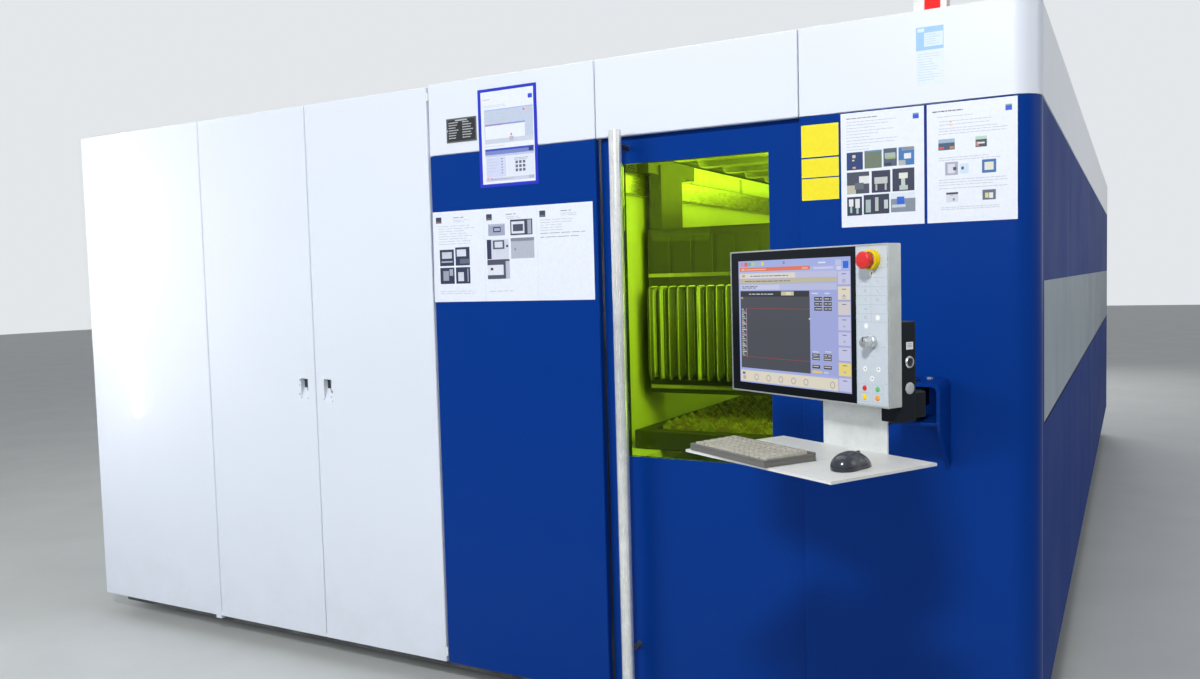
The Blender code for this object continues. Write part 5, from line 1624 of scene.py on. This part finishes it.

# %% [markdown]
# ## Bellows
# Two pleated covers close the beam on both sides of the carriage. Each is a
# channel of stiff cloth: its outline runs back, down and back again, and the
# depth goes in and out once a pleat. The covers stretch between the beam and
# the carriage, so a point has to move by the carriage's way times its share of
# the cover's length. A blend that turns from one body to the other with a
# smooth step bunches cloth in the middle; so each cover is made of a few runs
# of pleats, and for each run the ends of such a blend are worked out, so that
# the smooth step would meet the straight share at both of the run's own ends.
# The runs stay where they are drawn: they ride on no body, and the ends are
# not used.

# %% Pleats
PLEAT_IN, CLOTH, STEPS_A_PLEAT = 0.030, 0.0016, 8
RUNS = (0.0, 0.053, 0.106, 0.212, 0.353, 0.647, 0.788, 0.894, 0.947, 1.0)
bellows_cloth = plastic(
    "coated bellows cloth", (0.022, 0.028, 0.022), 0.5, 0.3, 0.00004, 900.0
)
cloth_tone = shader_of(bellows_cloth).inputs["Base Color"].links[0].from_socket
# Painted highlight: the pleats' folds get a lighter tone, as where they catch the chamber light.
fold_highlight_tone = blend_colours(
    bellows_cloth, edge_highlight_mask(bellows_cloth, 0.006), cloth_tone, (0.28, 0.30, 0.24)
)
# Painted highlight: a pale band along the top of the cloth, where the chamber light falls from
# above.
top_edge_highlight = window_of(bellows_cloth, own_axes(bellows_cloth)["Z"], 1.580, 1.60, 0.002)
top_highlight_tone = blend_colours(bellows_cloth, top_edge_highlight, fold_highlight_tone, (0.62, 0.64, 0.50))
to_shader(bellows_cloth, "Base Color", top_highlight_tone)


def pleated(start, end, first, last, pleats):
    """Cloth between two shares of a cover of a whole number of pleats.

    depth = bent triangle wave of the place along the cover; the outline goes
    from the back over the top to the front, down, and under to the back. Its
    rounded corners are the same at each place.
    """
    steps = max(2, round((last - first) * pleats * STEPS_A_PLEAT))
    share = np.linspace(first, last, steps + 1)[:, None]
    x = start + (end - start) * share
    dip = np.abs(((share * pleats) % 1.0) * 2 - 1) ** 1.4
    height = np.array([1.0, 1.0, 0.99, 0.94, 0.5, 0.06, 0.01, 0.0, 0.0])
    front = np.array([0.0, 0.55, 0.93, 1.0, 1.0, 1.0, 0.93, 0.55, 0.0])
    layers = []
    for inward in (0.0, CLOTH):
        y = 1.5985 - (0.0960 - PLEAT_IN * dip - inward) * front
        z = 1.3400 + (height * 2 - 1) * (0.245 - 0.024 * dip - inward)
        layers.append(np.stack([np.broadcast_to(x, y.shape), y, z], -1))
    return tube_with_flat_ends(np.concatenate([layers[0], layers[1][:, ::-1]], axis=1))


def smooth_share(value):
    """The t for which 3t^2 - 2t^3 gives value, by halving."""
    low, high = 0.0, 1.0
    for _ in range(50):
        middle = (low + high) / 2
        if middle * middle * (3 - 2 * middle) < value:
            low = middle
        else:
            high = middle
    return (low + high) / 2


def cover(name, node, beam_end, carriage_end, pleats):
    """The runs of one cover, from the beam's end to the carriage's, left in place."""
    for number, (first, last) in enumerate(zip(RUNS[:-1], RUNS[1:])):
        points, faces = pleated(beam_end, carriage_end, first, last, pleats)
        run_name = f"{name}_{number + 1}"
        piece = new_object(run_name, from_corner(points), faces, bellows_cloth, 50)
        facing_out(piece)
        t0, t1 = smooth_share(first), smooth_share(last)
        length = (carriage_end - beam_end) * (last - first) / (t1 - t0)
        from_x = beam_end + (carriage_end - beam_end) * first - t0 * length
        ends = [(from_x, 1.55, 1.34), (from_x + length, 1.55, 1.34)]
        start, end = from_corner(ends).tolist()
        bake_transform(piece)
        if number == 0:
            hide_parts(node)


cover("left_bellows", "bellows_left", -1.9990, -1.1525, 16)
cover("right_bellows", "bellows_right", -0.2010, -0.8475, 12)
print("bellows in", 2 * (len(RUNS) - 1), "runs")

# %% [markdown]
# ## Gantry, carriage and head
# The beam carries ground rails, a cable tray, a row of cover plates and the
# carriage's front plate. These are repeated boxes, and the head is one turned
# piece.

# %% Gantry details
plates = [
    (-2.0180, 1.5990, 1.8600, -0.1870, 1.6030, 1.8795),
    (-2.0190, 1.5900, 1.8805, -0.1860, 1.6900, 1.8835),
]
for n in range(15):
    left = -1.995 + 0.1200 * n
    plates.append((left, 1.5930, 1.6150, left + 0.100, 1.6004, 1.8450))
make_piece(
    "beam_cover_plates", boxes(plates), dark_coat, "gantry", slot="dark_frame",
    rounded=(0.0012, 1),
)
rails = [
    (-2.0150, 1.5860, 1.6300, -0.1900, 1.6000, 1.6500),
    (-2.0150, 1.5860, 1.0450, -0.1900, 1.6000, 1.0650),
]
make_piece(
    "beam_rails", boxes(rails), ground_steel, "gantry", slot="machined_steel",
    rounded=(0.001, 1),
)

# %% Carriage and head details
plates = [
    (-1.140, 1.4985, 1.060, -0.860, 1.5010, 1.700),
    (-1.120, 1.4970, 1.620, -0.880, 1.5000, 1.690),
    (-1.060, 1.4970, 1.100, -0.940, 1.5000, 1.200),
]
make_piece(
    "carriage_plates", boxes(plates), zinc_sheet, "carriage", slot="dark_frame",
    rounded=(0.001, 1),
)
head = [
    (40, 10205), (100, 10330), (170, 10480), (240, 10600), (240, 10900), (340, 10960),
    (340, 11500), (280, 11560), (280, 11950), (450, 12050), (450, 13600), (400, 13660),
    (400, 14400), (470, 14450), (470, 15200), (360, 15300), (200, 16150),
]
make_piece(
    "cutting_head_body", turned(np.array(head) * TENTH, 48, (-1.0, 1.4250, 0)), bright_metal,
    "head", 30, instead_of="cutting_head", closed=True,
)
make_piece(
    "cutting_head_back", boxes([-1.040, 1.4500, 1.2200, -0.960, 1.4965, 1.5200]), dark_coat,
    "head", slot="machined_steel", rounded=(0.003,),
)
print("chamber dressed")

# %% [markdown]
# ## Small marks and fittings
# What tells that a machine is in use: chipped paint round the pulls, a hinge
# tab in a seam, the lip under the side's band, a screw row on the back walls.
# Chips are thin flat flakes, each an uneven ring of points round its middle.

# %% Chips near the pulls
CHIP_CORNERS = 14


def chips(name, body, spots, seed):
    """Uneven flat patches: radius = size * (0.75 + half a random share)."""
    spin = np.random.default_rng(seed)
    angle = np.linspace(0, 2 * np.pi, CHIP_CORNERS, endpoint=False)
    points, faces = [], []
    for x, z, size in spots:
        number = len(points) * CHIP_CORNERS + np.arange(CHIP_CORNERS)
        after = np.roll(number, -1)
        radius = size * (0.75 + 0.5 * spin.random(CHIP_CORNERS))
        for y in (-0.00015, 0.00005):
            ring = [x + radius * np.cos(angle), y + 0 * angle, z + 1.5 * radius * np.sin(angle)]
            points.append(np.stack(ring, -1))
        faces += [number, number[::-1] + CHIP_CORNERS]
        faces += list(np.stack([number, number + CHIP_CORNERS, after + CHIP_CORNERS, after], -1))
    make_piece(
        name, (np.vstack(points), faces), chip_grey, body, slot="white_paint", closed=True
    )


left_chips = (
    (-2.936, 1.226, 0.0040), (-2.939, 1.205, 0.0025), (-2.941, 1.165, 0.0032),
    (-2.893, 1.148, 0.0022), (-2.934, 1.150, 0.0018),
)
right_chips = (
    (-2.757, 1.222, 0.0034), (-2.753, 1.180, 0.0046), (-2.759, 1.158, 0.0024),
    (-2.801, 1.146, 0.0022), (-2.752, 1.140, 0.0020),
)
chips("left_door_chips", "left_cabinet_door", left_chips, 3)
chips("right_door_chips", "right_cabinet_door", right_chips, 5)

# %% Painted shade in the pull pockets
for side, middle in (("left", -2.912), ("right", -2.777)):
    # Near black boxes at the back of each pull pocket: painted shade in the deep recess, with a
    # second patch at one side for the shadow there.
    pocket_shade_boxes = [
        (middle - 0.0165, 0.0185, 1.1430, middle + 0.0165, 0.0225, 1.2280),
        (middle + 0.0040, 0.0130, 1.1800, middle + 0.0150, 0.0186, 1.2200),
    ]
    make_piece(
        side + "_pull_pocket_shade", boxes(pocket_shade_boxes), pull_black, side + "_cabinet_door",
        slot="white_paint",
    )

# %% Seam fittings
fittings = [
    (-2.1965, 0.0020, 2.3400, -2.1870, 0.0180, 2.3720),
    (-2.1965, 0.0020, 0.1250, -2.1870, 0.0180, 0.1600),
    (-3.5140, 0.0020, 0.1020, -3.5040, 0.0180, 0.1160),
    (-2.8500, 0.0020, 0.1020, -2.8440, 0.0180, 0.1160),
]
make_piece("seam_fittings", boxes(fittings), white_cap, "machine", slot="white_paint")
make_piece(
    "side_band_lip", boxes([-0.0020, 0.1400, 1.1525, 0.0, 7.6000, 1.1590]), chip_grey,
    "machine", slot="white_paint",
)

# %% Screws and louvres behind
places = [(-4.30 + 0.5325 * n, 7.6370, z) for n in range(9) for z in (0.320, 1.30, 2.330)]
screw = turned(((0.0050, 0.0026), (0.0066, 0.0020), (0.0070, 0.0001)), 14)
make_piece(
    "rear_screws", repeated(aimed(screw, "xzy", (0, 0, 0)), places), zinc_sheet, "machine", 40,
    slot="galvanised", closed=True,
)
louvres = []
for left in (-3.98, -3.30):
    for up in 0.60 + 0.045 * np.arange(12):
        louvres.append((left, 7.6375, up, left + 0.42, 7.6398, up + 0.018))
make_piece(
    "rear_louvres", boxes(louvres), pull_black, "machine", slot="dark_frame",
    rounded=(0.0008, 1),
)

# %% [markdown]
# ## Inside the control cabinet
# Behind the two doors the mounting plate carries rows of grey modules with
# dark covers and small green tags. Each kind is one array of boxes: a module's
# low left place plus shares of its width and height.

# %% Cabinet modules
MODULE_ROWS = (
    (1.72, 0.34, 6, 0.20), (1.36, 0.16, 9, 0.11), (1.06, 0.12, 16, 0.075), (0.42, 0.36, 3, 0.24),
)
starts, sizes = [], []
for low, tall, count, deep in MODULE_ROWS:
    wide = 1.10 / count
    starts += [(-3.40 + n * wide, 0.5638 - deep, low) for n in range(count)]
    sizes += [(wide, 1.0, tall)] * count
starts, sizes = np.tile(starts, 2), np.tile(sizes, 2)
FRONT_LIMITS = (-3.45, 0.3245, 0.34, -3.45, 0.3260, 0.34)
fronts = starts + sizes * (0.10, 0.0, 0.08, 0.86, 0.004, 0.92)
covers = starts + sizes * (0.18, -0.002, 0.60, 0.78, 0.001, 0.84)
tags = starts + sizes * (0.20, -0.0015, 0.22, 0.50, 0.001, 0.34)
for name, rows, finish in (
    ("module_fronts", np.maximum(fronts, FRONT_LIMITS), module_grey),
    ("module_covers", covers, module_dark),
    ("module_tags", tags, green_cap),
):
    make_piece(name, boxes(rows), finish, "machine", slot="grey_paint", rounded=(0.001, 1))
print("marks and fittings placed")

# %% [markdown]
# ## Sizes and the last line
# The box round all that is drawn, apart from the floor, gives the size of
# the dressed machine.

# %% Size of the dressed machine
low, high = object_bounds()
print("size", [round(high[i] - low[i], 3) for i in range(3)])
